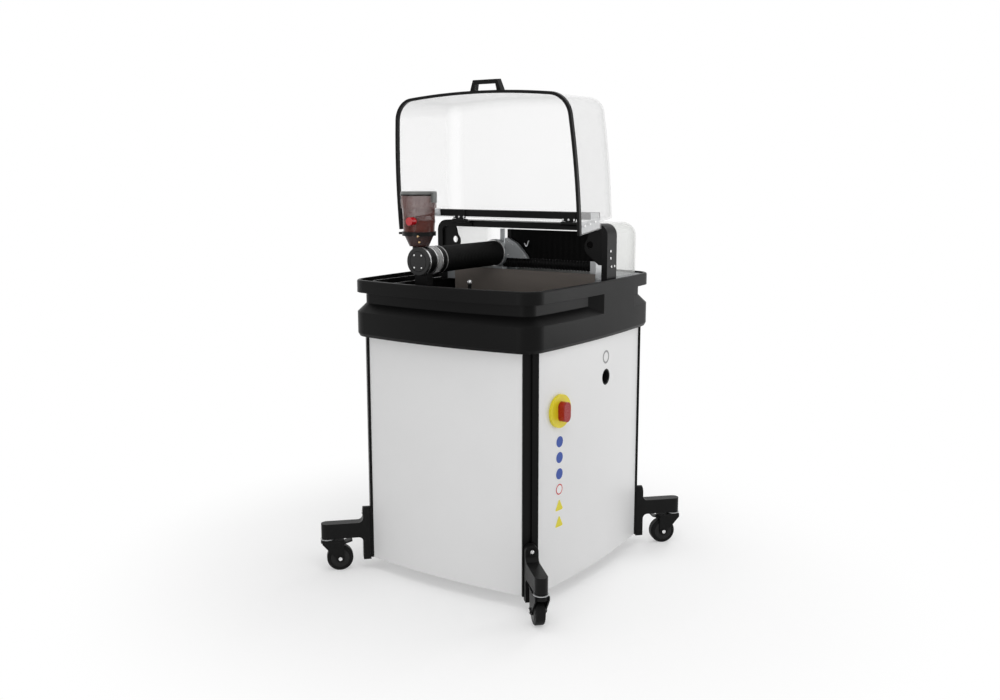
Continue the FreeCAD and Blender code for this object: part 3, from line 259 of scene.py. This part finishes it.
def node_material(name, color, rough, metal=0.0, vary=0.05, grain=900.0, bump=0.02, stretch=(1, 1, 1),
                  specular=0.5, rough_vary=0.06, coat=0.0, alpha=None, edge_alpha=None, blotch=8.0, soft=0.0):
    """A principled material whose colour, roughness and bump come from two noises."""
    made = bpy.data.materials.new(name)
    made.use_nodes = True
    nodes, links = made.node_tree.nodes, made.node_tree.links
    shader = nodes["Principled BSDF"]
    shader.inputs["Metallic"].default_value = metal
    shader.inputs["Specular IOR Level"].default_value = specular
    shader.inputs["Coat Weight"].default_value = coat
    place = nodes.new("ShaderNodeTexCoord")
    scaled = nodes.new("ShaderNodeMapping")
    scaled.inputs["Scale"].default_value = stretch
    links.new(place.outputs["Object"], scaled.inputs["Vector"])

    fine = nodes.new("ShaderNodeTexNoise")
    fine.inputs["Scale"].default_value = grain
    fine.inputs["Detail"].default_value = 3.0
    links.new(scaled.outputs["Vector"], fine.inputs["Vector"])
    broad = nodes.new("ShaderNodeTexNoise")
    broad.inputs["Scale"].default_value = blotch
    broad.inputs["Detail"].default_value = 4.0
    links.new(scaled.outputs["Vector"], broad.inputs["Vector"])

    both = nodes.new("ShaderNodeMix")
    both.data_type = "FLOAT"
    both.inputs["Factor"].default_value = 0.5
    links.new(fine.outputs["Fac"], both.inputs["A"])
    links.new(broad.outputs["Fac"], both.inputs["B"])
    ramp = nodes.new("ShaderNodeValToRGB")
    ramp.color_ramp.elements[0].position = 0.35
    ramp.color_ramp.elements[1].position = 0.65
    ramp.color_ramp.elements[0].color = [c * (1 - vary) for c in color] + [1]
    ramp.color_ramp.elements[1].color = [min(1.0, c * (1 + vary)) for c in color] + [1]
    links.new(both.outputs["Result"], ramp.inputs["Fac"])
    links.new(ramp.outputs["Color"], shader.inputs["Base Color"])

    spread = nodes.new("ShaderNodeMapRange")
    spread.inputs["From Min"].default_value = 0.3
    spread.inputs["From Max"].default_value = 0.7
    spread.inputs["To Min"].default_value = max(0.02, rough - rough_vary)
    spread.inputs["To Max"].default_value = min(1.0, rough + rough_vary)
    links.new(both.outputs["Result"], spread.inputs["Value"])
    links.new(spread.outputs["Result"], shader.inputs["Roughness"])

    normal = None
    if soft:
        edge = nodes.new("ShaderNodeBevel")
        edge.samples = 4
        edge.inputs["Radius"].default_value = soft * MM
        normal = edge.outputs["Normal"]
    if bump:
        raised = nodes.new("ShaderNodeBump")
        raised.inputs["Strength"].default_value = bump
        raised.inputs["Distance"].default_value = 0.0005
        links.new(fine.outputs["Fac"], raised.inputs["Height"])
        if normal:
            links.new(normal, raised.inputs["Normal"])
        normal = raised.outputs["Normal"]
    if normal:
        links.new(normal, shader.inputs["Normal"])
    if alpha is not None:
        facing = nodes.new("ShaderNodeLayerWeight")
        facing.inputs["Blend"].default_value = 0.35
        clear = nodes.new("ShaderNodeMapRange")
        clear.inputs["To Min"].default_value = alpha
        clear.inputs["To Max"].default_value = edge_alpha
        links.new(facing.outputs["Facing"], clear.inputs["Value"])
        links.new(clear.outputs["Result"], shader.inputs["Alpha"])
    return made


def grey(level):
    """An even grey as a colour."""
    return (level, level, level)


PANEL = node_material("panel_coat", grey(0.80), 0.38, metal=0.12, specular=0.3, vary=0.012, grain=2500.0,
                      bump=0.03)
TRAY_PLASTIC = node_material("tray_plastic", grey(0.0045), 0.36, vary=0.12, grain=1800.0, bump=0.08,
                             specular=0.09, soft=2.5)
POST_BLACK = node_material("post_anodised", grey(0.004), 0.34, vary=0.10, grain=2500.0, bump=0.04,
                           specular=0.10, stretch=(1, 1, 0.05))
BLACK_COAT = node_material("black_powder_coat", grey(0.006), 0.38, vary=0.12, grain=2200.0, bump=0.10,
                           specular=0.12, soft=1.5)
BLACK_PLASTIC = node_material("black_plastic", grey(0.005), 0.32, vary=0.10, grain=1600.0, bump=0.05,
                              specular=0.12, soft=1.0)
RUBBER = node_material("ribbed_rubber", grey(0.004), 0.50, vary=0.15, grain=1500.0, bump=0.08,
                       specular=0.12)
CURTAIN_BLACK = node_material("curtain_black", grey(0.003), 0.45, vary=0.10, grain=1500.0, bump=0.03,
                              specular=0.05)
SLEEVE_CLOTH = node_material("sleeve_cloth", grey(0.006), 0.55, vary=0.18, grain=1200.0, bump=0.12,
                             specular=0.12)
TYRE = node_material("tyre_rubber", grey(0.006), 0.50, vary=0.2, grain=900.0, bump=0.12, specular=0.12)
HUB = node_material("wheel_hub_plastic", grey(0.012), 0.38, vary=0.1, grain=900.0, bump=0.05,
                    specular=0.2)
BRIGHT = node_material("bright_screw_steel", grey(0.80), 0.25, metal=0.75, vary=0.06, grain=1500.0,
                       bump=0.02)
ZINC = node_material("zinc_plate", (0.58, 0.59, 0.60), 0.32, metal=0.75, vary=0.10, grain=700.0,
                     bump=0.04, soft=0.8)
CAST = node_material("cast_aluminium", (0.44, 0.46, 0.47), 0.40, metal=0.5, vary=0.12, grain=700.0,
                     bump=0.18, soft=2.0)
MACHINED = node_material("machined_steel", (0.40, 0.40, 0.39), 0.30, metal=1.0, vary=0.14, grain=500.0,
                         bump=0.04, stretch=(1, 12, 1))
KNURLED = node_material("knurled_band", (0.46, 0.46, 0.46), 0.34, metal=0.6, vary=0.15, grain=900.0,
                        bump=0.06)
SPLASH = node_material("splash_steel", (0.170, 0.150, 0.135), 0.42, metal=0.20, specular=0.2, vary=0.10,
                       grain=900.0, bump=0.05, stretch=(1, 1, 6), blotch=5.0)
SLAT = node_material("slat_steel", (0.06, 0.057, 0.054), 0.5, metal=0.8, vary=0.25, grain=300.0,
                     bump=0.15)
DECK = node_material("deck_sheet", (0.30, 0.31, 0.32), 0.42, metal=0.4, vary=0.05, grain=1500.0,
                     bump=0.05)
CAP_FACE = node_material("cap_grey", grey(0.030), 0.42, vary=0.12, grain=1500.0, bump=0.08, specular=0.2,
                         soft=1.0)
LID_GREY = node_material("hopper_lid_grey", (0.13, 0.135, 0.13), 0.35, vary=0.08, grain=1200.0, bump=0.04,
                         soft=1.0)
YELLOW = node_material("switch_yellow", (0.82, 0.70, 0.02), 0.35, vary=0.03, grain=900.0, bump=0.02)
RED = node_material("switch_red", (0.34, 0.006, 0.006), 0.28, vary=0.06, grain=900.0, bump=0.02)
KNOB_RED = node_material("knob_red", (0.52, 0.006, 0.014), 0.22, vary=0.08, grain=900.0, bump=0.02,
                         coat=0.4)
GARNET = node_material("garnet_grains", (0.22, 0.045, 0.025), 0.75, vary=0.55, grain=1400.0, bump=0.8,
                       blotch=60.0)
BLUE_MARK = node_material("mark_blue", (0.02, 0.07, 0.36), 0.45, vary=0.03, grain=900.0, bump=0.01)
RED_MARK = node_material("mark_red", (0.60, 0.03, 0.03), 0.45, vary=0.03, grain=900.0, bump=0.01)
YELLOW_MARK = node_material("mark_yellow", (0.78, 0.68, 0.03), 0.45, vary=0.03, grain=900.0, bump=0.01)
WHITE_MARK = node_material("mark_white", grey(0.86), 0.45, vary=0.01, grain=900.0, bump=0.01)
GREY_MARK = node_material("mark_grey", grey(0.30), 0.45, vary=0.03, grain=900.0, bump=0.01)
ACRYLIC = node_material("clear_acrylic", grey(0.84), 0.06, vary=0.01, grain=60.0, bump=0.0, alpha=0.03,
                        edge_alpha=0.50, rough_vary=0.02)
COVER_CLEAR = node_material("clear_cover", (0.82, 0.83, 0.80), 0.10, vary=0.01, grain=60.0, bump=0.0,
                            alpha=0.03, edge_alpha=0.62, rough_vary=0.02)
SMOKY = node_material("smoky_cup", (0.16, 0.055, 0.045), 0.14, vary=0.08, grain=120.0, bump=0.0,
                      alpha=0.36, edge_alpha=0.85, rough_vary=0.04, specular=0.2)
SMOKY_CONE = node_material("smoky_cone", (0.045, 0.014, 0.012), 0.22, vary=0.15, grain=300.0, bump=0.03,
                           alpha=0.86, edge_alpha=0.97, specular=0.2)
AMBER = node_material("brass_fitting", (0.62, 0.42, 0.22), 0.3, metal=1.0, vary=0.1, grain=700.0,
                      bump=0.02)
SOCKET = node_material("dark_socket", grey(0.006), 0.6, vary=0.1, grain=900.0, bump=0.05, specular=0.25)

NODE_LOOKS = {
    "corner_posts": POST_BLACK, "base_plate": PANEL, "tray": TRAY_PLASTIC, "splash_wall": SPLASH,
    "rear_deck": DECK, "slat_bed": SLAT, "side_rails": BLACK_PLASTIC, "clamp_post": BLACK_COAT,
    "hinge_hoop": BLACK_COAT, "hinge_plates": BLACK_COAT, "hinge_brackets": BLACK_COAT,
    "rear_cover": COVER_CLEAR, "x_rail": MACHINED, "x_screw": MACHINED, "x_end_blocks": ZINC,
    "switch_plate": YELLOW, "hose_port": SOCKET, "front_panel": PANEL, "right_panel": PANEL,
    "back_panel": PANEL, "left_panel": PANEL, "caster_brackets": BLACK_COAT, "carriage": CAST,
    "arm_tube": MACHINED, "head_body": BLACK_COAT, "head_rings": BRIGHT, "collar": BLACK_COAT,
    "end_cap": CAP_FACE, "nozzle": BLACK_COAT, "feed_block": BLACK_PLASTIC, "hopper_cone": SMOKY_CONE,
    "hopper_cup": SMOKY, "abrasive_fill": GARNET, "hopper_lid": LID_GREY, "hopper_band": BLACK_PLASTIC,
    "hopper_knob": KNOB_RED, "lid_dome": ACRYLIC, "lid_trim": BLACK_PLASTIC, "lid_handle": BLACK_PLASTIC,
    "hinge_bar": BLACK_COAT, "side_brackets": ZINC, "hinge_leaves": BLACK_COAT, "switch_knob": RED,
}
for corner in CORNERS:
    NODE_LOOKS["fork_" + corner] = BLACK_COAT
    NODE_LOOKS["wheel_" + corner] = TYRE
for node_name, look in NODE_LOOKS.items():
    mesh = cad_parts[node_name].data
    mesh.materials.clear()
    mesh.materials.append(look)


# Bellows, sleeve and curtain: fixed pleated pieces in place of their nodes, which on the machine stretch with
# the slides

def stretching(name, bm, material, node):
    """A pleated piece that stands for a node, baked in place on no body, with the node hidden."""
    piece = finish_mesh(name, bm, material, None, sharp=70)
    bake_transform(piece)
    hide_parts(node)


for side, label, folds in ((-1, "left", 12), (1, "right", 30)):
    moving = ARM_X + side * LUG_HALF
    fixed = side * SCREW_END
    bm = bmesh.new()
    profile = [(BELLOWS_BORE, 0)] + pleats(abs(fixed - moving), folds, BELLOWS_R, BELLOWS_R - 3.6)
    profile.append((BELLOWS_BORE, profile[-1][1]))
    add_lathe(bm, profile, (moving, DRIVE_Y, DRIVE_Z), (side, 0, 0), 40)
    stretching("bellows_pleats_" + label, bm, RUBBER, "bellows_" + label)

bm = bmesh.new()
sleeve_long = CARRIAGE_FRONT - 0.5 - COLLAR_REAR
ribs = pleats(sleeve_long, 42, SLEEVE_R - 0.05, SLEEVE_R - 1.9, 6)
profile = [(SLEEVE_BORE, 0)] + ribs + [(SLEEVE_BORE, sleeve_long)]
add_lathe(bm, profile, (ARM_X, COLLAR_REAR, ARM_Z), (0, 1, 0), 64)
stretching("arm_sleeve_ribs", bm, SLEEVE_CLOTH, "arm_sleeve")

bm = bmesh.new()
folds, sheet_thick, pleat_deep = 18, 1.2, 0.7
sheets = []
for back in (0, 1):
    grid = []
    for index in range(folds * 4 + 1):
        wave = 0.5 - 0.5 * math.cos(2 * math.pi * index / 4)
        x = CURTAIN_LEFT + (CURTAIN_RIGHT - CURTAIN_LEFT) * index / (folds * 4)
        y = CURTAIN_FRONT + 0.3 + pleat_deep * wave + back * sheet_thick
        grid.append([bm.verts.new((x, y, z)) for z in (CURTAIN_LOW, CURTAIN_TOP)])
    sheets.append(grid)
for grid in sheets:
    for a, b in zip(grid, grid[1:]):
        bm.faces.new([a[0], b[0], b[1], a[1]])
near, far = sheets
for a, b, c, d in zip(near, near[1:], far, far[1:]):
    bm.faces.new([a[0], b[0], d[0], c[0]])
    bm.faces.new([a[1], b[1], d[1], c[1]])
for k in (0, -1):
    bm.faces.new([near[k][0], near[k][1], far[k][1], far[k][0]])
stretching("curtain_pleats", bm, CURTAIN_BLACK, "curtain")


# Screws

screws("cap_screws", [((ARM_X + dx, CAP_FRONT, ARM_Z + dz), (0, -1, 0))
                      for dx in (-12.5, 12.5) for dz in (-17.0, 17.0)], BRIGHT, "arm", 2.6, 1.6)
screws("hoop_post_screws", [((HOOP_SIDE * s, y, z), (s, 0, 0)) for s in (-1, 1) for y, z in HOOP_SCREWS],
       BRIGHT, "cabinet", 3.6, 2.4)


def turned_normal(normal):
    """Where a direction of the closed lid points when the lid is open."""
    return Matrix.Rotation(math.radians(-LID_OPEN), 3, "X") @ Vector(normal)


screws("leaf_screws", [(opened((s * x, LEAF_SCREW_Y, LEAF_SCREW_Z)), turned_normal((0, 0, -1)))
                       for s in (-1, 1) for x in LEAF_SCREWS_X], BRIGHT, "lid", 3.0, 2.0)
bracket_places = []
for s in (-1, 1):
    for y, z in BRACKET_SCREWS:
        x = LID_X - LID_SLOPE * (z - LID_RIM)
        bracket_places.append((opened((s * (x - 0.6), y, z)), (s, 0, 0)))
screws("side_bracket_screws", bracket_places, BRIGHT, "lid", 3.6, 2.6)


# Head: knurled band, bright rings and the sleeve's end rings

def ring_piece(name, y0, y1, inner, outer, material, body, bevel=0.5, segments=72):
    """A plain ring round the arm's axis."""
    bm = bmesh.new()
    profile = [(inner, y0), (outer - bevel, y0), (outer, y0 + bevel), (outer, y1 - bevel), (outer - bevel, y1),
               (inner, y1), (inner, y0)]
    add_lathe(bm, profile, (ARM_X, 0, ARM_Z), (0, 1, 0), segments)
    return finish_mesh(name, bm, material, body)


def knurl(name, y0, y1, root, crest, ribs, material):
    """A band of fine ribs round the arm's axis."""
    bm = bmesh.new()
    rings = []
    for y, drop in ((y0, crest - root + 1.0), (y0 + 0.8, 0), (y1 - 0.8, 0), (y1, crest - root + 1.0)):
        ring = []
        for index in range(ribs * 4):
            radius = (crest if index % 4 in (1, 2) else root) - drop
            angle = 2 * math.pi * index / (ribs * 4)
            across, up = radius * math.cos(angle), radius * math.sin(angle)
            ring.append(bm.verts.new((ARM_X + across, y, ARM_Z + up)))
        rings.append(ring)
    for low, high in zip(rings, rings[1:]):
        for k, first in enumerate(low):
            after = (k + 1) % len(low)
            bm.faces.new([first, low[after], high[after], high[k]])
    bm.faces.new(rings[0])
    bm.faces.new(rings[-1])
    return finish_mesh(name, bm, material, "arm", sharp=25)


knurl("collar_knurl", BODY_REAR + 1.0, BODY_REAR + 19.0, HEAD_R + 0.1, HEAD_R + 0.9, 90, KNURLED)
ring_piece("collar_ring", BODY_REAR + 20.5, BODY_REAR + 24.0, HEAD_R - 3, HEAD_R + 0.7, BRIGHT,
           "arm")
ring_piece("collar_rear_ring", COLLAR_REAR - 3.5, COLLAR_REAR, HEAD_R - 3, HEAD_R + 0.3, KNURLED,
           "arm")
ring_piece("sleeve_end_ring", CARRIAGE_FRONT - 17.0, CARRIAGE_FRONT - 14.4, SLEEVE_R + 0.5, SLEEVE_R + 3.0,
           BRIGHT, "carriage")
ring_piece("carriage_barrel", CARRIAGE_FRONT - 14.5, CARRIAGE_FRONT - 0.3, SLEEVE_R + 0.6, SLEEVE_R + 4.6,
           CAST, "carriage", 1.5)
bm = bmesh.new()
(bar_left, bar_low), (bar_right, bar_high) = LEAD_BAR
add_box(bm, (bar_left, CARRIAGE_FRONT - 1.0, bar_low), (bar_right, CARRIAGE_FRONT + 0.2, bar_high), 0.3, 1)
finish_mesh("lead_bar_face", bm, BLACK_PLASTIC, "carriage")
# A thin black ring laid on the end cap's face near its rim: painted shade for a groove.
ring_piece("cap_groove_painted_shade", CAP_FRONT - 0.35, CAP_FRONT + 0.5, 27.0, 28.4, BLACK_PLASTIC,
           "arm", 0.1)
screws("flank_screws", [((x, FLANK_Y, z), (0, -1, 0)) for x, z in FLANK_SCREWS],
       BRIGHT, "carriage", 2.6, 1.8)

bm = bmesh.new()
add_tube(bm, [(-3.0, 101, 938.6), (-0.8, 100.5, 935.5), (1.4, 100.5, 931.0), (3.6, 101, 929.0),
              (6.0, 102, 931.5), (8.4, 102.5, 938.0), (10.8, 103, 946.5)], 1.9, 12)
finish_mesh("carriage_elbow", bm, ZINC, "carriage", sharp=50)

bm = bmesh.new()
add_lathe(bm, [(0, -7.3), (4.0, -6.2), (6.4, -3.4), (7.3, 0), (6.4, 3.4), (4.0, 6.2), (0, 7.3)],
          CLAMP_AT, (0, 0, 1), 32)
finish_mesh("clamp_ball", bm, BRIGHT, "cabinet", sharp=60)

bm = bmesh.new()
for s in (-1, 1):
    for x0, x1, z in ((RAIL_OUT - 3.0, RAIL_OUT, LEDGE_TOP + RAIL_HIGH),
                      (RAIL_OUT - RAIL_WIDE, RAIL_OUT - RAIL_WIDE + 3.0, LEDGE_TOP + 0.4 * RAIL_HIGH)):
        low_x, high_x = sorted((s * x0, s * x1))
        add_box(bm, (low_x + 0.3, RAIL_FRONT + 2, z), (high_x - 0.3, RAIL_REAR - 2, z + 0.6), 0.2, 1)
finish_mesh("side_rail_strips", bm, BRIGHT, "cabinet")


# Hopper fittings

bm = bmesh.new()
for dx, dy, dz in BRASS_AT:
    add_lathe(bm, [(0, -3), (2.6, -2.2), (3.2, 0), (2.6, 2.2), (0, 3)],
              (HOPPER_X + dx, HOPPER_Y + dy, CONE_TOP + dz), (0, -1, 0), 16)
finish_mesh("hopper_brass", bm, AMBER, "arm", sharp=50)

bm = bmesh.new()
seal_in = LID_SEAL_R - 1.4
add_lathe(bm, [(seal_in, CUP_TOP - 3.5), (LID_SEAL_R, CUP_TOP - 3.5), (LID_SEAL_R + 0.3, CUP_TOP - 1.8),
               (LID_SEAL_R, CUP_TOP - 0.1), (seal_in, CUP_TOP - 0.1), (seal_in, CUP_TOP - 3.5)],
          (HOPPER_X, HOPPER_Y, 0), (0, 0, 1), 56)
finish_mesh("hopper_lid_seal", bm, BLACK_PLASTIC, "arm")


# Casters: plate bolts, axle bolts, wheel faces and the bright swivel plates

for corner, (sx, sy) in CORNERS.items():
    spot = corner_matrix(sx, sy)
    turn = spot.to_3x3()

    def at(x, y, z):
        """A point in the corner's own axes, in the machine's."""
        return spot @ Vector((x, y, z))

    outward, sideways = turn @ Vector((1, 0, 0)), turn @ Vector((0, 1, 0))
    bm = bmesh.new()
    add_lathe(bm, [(11.0, -0.4), (11.0, 0.5), (10.2, 0.9), (8.6, 0.4), (0, 0.3)],
              at(FOOT_PLATE, 0, PLATE_BOLT_Z), outward, 28)
    finish_mesh("plate_recess_" + corner, bm, BLACK_PLASTIC, "cabinet")
    screws("plate_bolt_" + corner, [(at(FOOT_PLATE + 0.4, 0, PLATE_BOLT_Z), outward)], BRIGHT, "cabinet",
           5.0, 3.2)
    axle_ends = [(at(TRAIL_HUB, side * AXLE_OUT, WHEEL_R), sideways * side) for side in (-1, 1)]
    screws("axle_bolts_" + corner, axle_ends, BRIGHT, "fork_" + corner, 5.4, 2.4)
    bm = bmesh.new()
    add_lathe(bm, [(12.0, 0.0), (20.5, 0.0), (20.5, 1.6), (12.0, 1.6), (12.0, 0.0)],
              at(SWIVEL_OUT, 0, ARM_LOW - 3.4), (0, 0, 1), 40)
    finish_mesh("swivel_race_" + corner, bm, ZINC, "fork_" + corner)
    bm = bmesh.new()
    for side in (-1, 1):
        add_lathe(bm, [(11.0, 0.0), (11.0, 1.6), (24.0, 1.9), (26.5, 1.2), (27.5, -0.3)],
                  at(TRAIL_HUB, side * WHEEL_HALF, WHEEL_R), sideways * side, 48)
    finish_mesh("wheel_faces_" + corner, bm, HUB, "wheel_" + corner)


# Colour marks and the ring on the right panel

def add_mark(bm, y0, z0, outline, lift=0.25):
    """A thin patch that follows the bowed panel; the outline lists (across, up) pairs."""
    middle = bm.verts.new((panel_face(y0)[0] + lift, y0, z0))
    ring = [bm.verts.new((panel_face(y0 + a)[0] + lift, y0 + a, z0 + b)) for a, b in outline]
    for first, second in zip(ring, ring[1:] + ring[:1]):
        bm.faces.new([middle, first, second])


def circle(radius, count=40):
    """Points round a circle."""
    return [(radius * math.cos(2 * math.pi * k / count), radius * math.sin(2 * math.pi * k / count))
            for k in range(count)]


def triangle(side, corner=4.0):
    """An upright triangle with clipped corners, its points in turn round the middle."""
    high = side * math.sqrt(3) / 2
    tips = [Vector((0, high * 2 / 3)), Vector((-side / 2, -high / 3)), Vector((side / 2, -high / 3))]
    points = []
    for k, tip in enumerate(tips):
        before, after = tips[k - 1], tips[(k + 1) % 3]
        points.append(tuple(tip + (before - tip).normalized() * corner))
        points.append(tuple(tip + (after - tip).normalized() * corner))
    return points


def marks(name, places, material):
    """One piece of several patches; places lists each one's y, z, outline and lift."""
    bm = bmesh.new()
    for y, z, outline, lift in places:
        add_mark(bm, y, z, outline, lift)
    return finish_mesh(name, bm, material, "cabinet", sharp=80)


marks("mark_borders", [(MARK_Y, z, circle(17.0), 0.15) for z in DISC_HEIGHTS + (RING_HEIGHT,)]
      + [(MARK_Y, z, triangle(43.0), 0.15) for z in TRIANGLE_HEIGHTS], WHITE_MARK)
marks("mark_discs", [(MARK_Y, z, circle(15.2), 0.30) for z in DISC_HEIGHTS], BLUE_MARK)
marks("mark_ring", [(MARK_Y, RING_HEIGHT, circle(15.0), 0.30)], RED_MARK)
marks("mark_ring_inside", [(MARK_Y, RING_HEIGHT, circle(11.6), 0.40)], WHITE_MARK)
bm = bmesh.new()
for k in range(48):
    a, b = 2 * math.pi * k / 48, 2 * math.pi * (k + 1) / 48
    corners = []
    for radius, angle in ((PORT_RING_IN, a), (PORT_RING_OUT, a), (PORT_RING_OUT, b), (PORT_RING_IN, b)):
        y = PORT_RING_Y + radius * math.cos(angle)
        corners.append(bm.verts.new((panel_face(y)[0] + 0.3, y, PORT_RING_Z + radius * math.sin(angle))))
    bm.faces.new(corners)
finish_mesh("port_ring_mark", bm, GREY_MARK, "cabinet", sharp=80)
marks("mark_triangles", [(MARK_Y, z, triangle(38.0), 0.30) for z in TRIANGLE_HEIGHTS], YELLOW_MARK)


# Floor, light and camera

def stage_floor():
    """A pale floor that keeps the shadow near the machine and turns plain white further out."""
    bpy.ops.mesh.primitive_plane_add(size=40.0)
    floor = bpy.context.object
    floor.name = "floor"
    made = bpy.data.materials.new("stage_floor")
    made.use_nodes = True
    nodes, links = made.node_tree.nodes, made.node_tree.links
    shader = nodes["Principled BSDF"]
    shader.inputs["Base Color"].default_value = (0.93, 0.93, 0.93, 1)
    shader.inputs["Roughness"].default_value = 0.9
    shader.inputs["Specular IOR Level"].default_value = 0.1
    white = nodes.new("ShaderNodeEmission")
    white.inputs["Color"].default_value = (1, 1, 1, 1)
    place = nodes.new("ShaderNodeTexCoord")
    away = nodes.new("ShaderNodeVectorMath")
    away.operation = "LENGTH"
    links.new(place.outputs["Object"], away.inputs[0])
    fade = nodes.new("ShaderNodeMapRange")
    fade.interpolation_type = "SMOOTHSTEP"
    fade.inputs["From Min"].default_value = 0.45
    fade.inputs["From Max"].default_value = 1.3
    fade.inputs["To Min"].default_value = 0.35
    links.new(away.outputs["Value"], fade.inputs["Value"])
    mix = nodes.new("ShaderNodeMixShader")
    links.new(seen_white(nodes, links, fade.outputs["Result"]), mix.inputs["Fac"])
    links.new(shader.outputs["BSDF"], mix.inputs[1])
    links.new(white.outputs["Emission"], mix.inputs[2])
    links.new(mix.outputs["Shader"], nodes["Material Output"].inputs["Surface"])
    floor.data.materials.append(made)


def seen_white(nodes, links, amount=None):
    """1 for rays that show the background, camera, glossy and transmission rays, times an amount."""
    path = nodes.new("ShaderNodeLightPath")
    pair = nodes.new("ShaderNodeMath")
    pair.operation = "MAXIMUM"
    links.new(path.outputs["Is Camera Ray"], pair.inputs[0])
    links.new(path.outputs["Is Glossy Ray"], pair.inputs[1])
    either = nodes.new("ShaderNodeMath")
    either.operation = "MAXIMUM"
    links.new(pair.outputs["Value"], either.inputs[0])
    links.new(path.outputs["Is Transmission Ray"], either.inputs[1])
    if amount is None:
        return either.outputs["Value"]
    scale = nodes.new("ShaderNodeMath")
    scale.operation = "MULTIPLY"
    links.new(either.outputs["Value"], scale.inputs[0])
    links.new(amount, scale.inputs[1])
    return scale.outputs["Value"]


def direction(azimuth, elevation):
    """A unit vector; azimuth 0 is in front of the machine and 90 on its right."""
    a, e = math.radians(azimuth), math.radians(elevation)
    return Vector((math.sin(a) * math.cos(e), -math.cos(a) * math.cos(e), math.sin(e)))


def studio_world(level):
    """Even light all round that shows as plain white."""
    world = bpy.data.worlds.new("studio")
    bpy.context.scene.world = world
    world.use_nodes = True
    nodes, links = world.node_tree.nodes, world.node_tree.links
    light = nodes["Background"]
    light.inputs["Color"].default_value = (1, 1, 1, 1)
    light.inputs["Strength"].default_value = level
    white = nodes.new("ShaderNodeBackground")
    white.inputs["Color"].default_value = (1, 1, 1, 1)
    white.inputs["Strength"].default_value = 1.0
    mix = nodes.new("ShaderNodeMixShader")
    links.new(seen_white(nodes, links), mix.inputs["Fac"])
    links.new(light.outputs["Background"], mix.inputs[1])
    links.new(white.outputs["Background"], mix.inputs[2])
    links.new(mix.outputs["Shader"], nodes["World Output"].inputs["Surface"])


def softbox(name, azimuth, elevation, size, power, mirrored):
    """A square area light that looks at the machine and doesn't show in the picture."""
    out = direction(azimuth, elevation)
    lamp = bpy.data.lights.new(name, "AREA")
    lamp.shape = "SQUARE"
    lamp.size = size
    lamp.energy = power
    holder = bpy.data.objects.new(name, lamp)
    bpy.context.scene.collection.objects.link(holder)
    holder.visible_camera = False
    holder.visible_glossy = mirrored
    holder.location = Vector(LIGHT_TARGET) + out * LIGHT_DISTANCE
    holder.rotation_mode = "QUATERNION"
    holder.rotation_quaternion = (-out).to_track_quat("-Z", "Y")


def photo_camera():
    """The camera that took the photograph, as fitted."""
    data = bpy.data.cameras.new("camera")
    data.sensor_width = SENSOR
    data.lens = CAMERA_LENS
    holder = bpy.data.objects.new("camera", data)
    bpy.context.scene.collection.objects.link(holder)
    turn = Matrix.Rotation(math.radians(CAMERA_AZIMUTH), 4, "Z")
    turn @= Matrix.Rotation(math.radians(90 - CAMERA_PITCH), 4, "X")
    turn @= Matrix.Rotation(math.radians(CAMERA_ROLL), 4, "Z")
    holder.matrix_world = Matrix.Translation(Vector(CAMERA_AT) * MM) @ turn
    bpy.context.scene.camera = holder


# Each lamp: its azimuth, elevation, size in metres, power in watts, and whether surfaces mirror it
LIGHT_DISTANCE = 2.6
LIGHT_TARGET = (0, 0, 0.7)
ROOM_LEVEL = 0.42
LIGHTS = {
    "light_front": (2, 8, 0.9, 8, True),
    "light_front_right": (45, 45, 1.3, 14, False),
    "light_right": (130, 5, 1.0, 12, True),
    "light_rear": (175, 25, 1.2, 20, False),
    "light_top": (-10, 80, 1.6, 22, False),
}
stage_floor()
studio_world(ROOM_LEVEL)
for lamp_name, (azimuth, elevation, size, power, mirrored) in LIGHTS.items():
    softbox(lamp_name, azimuth, elevation, size, power, mirrored)
photo_camera()
bpy.context.scene.view_settings.view_transform = "Standard"
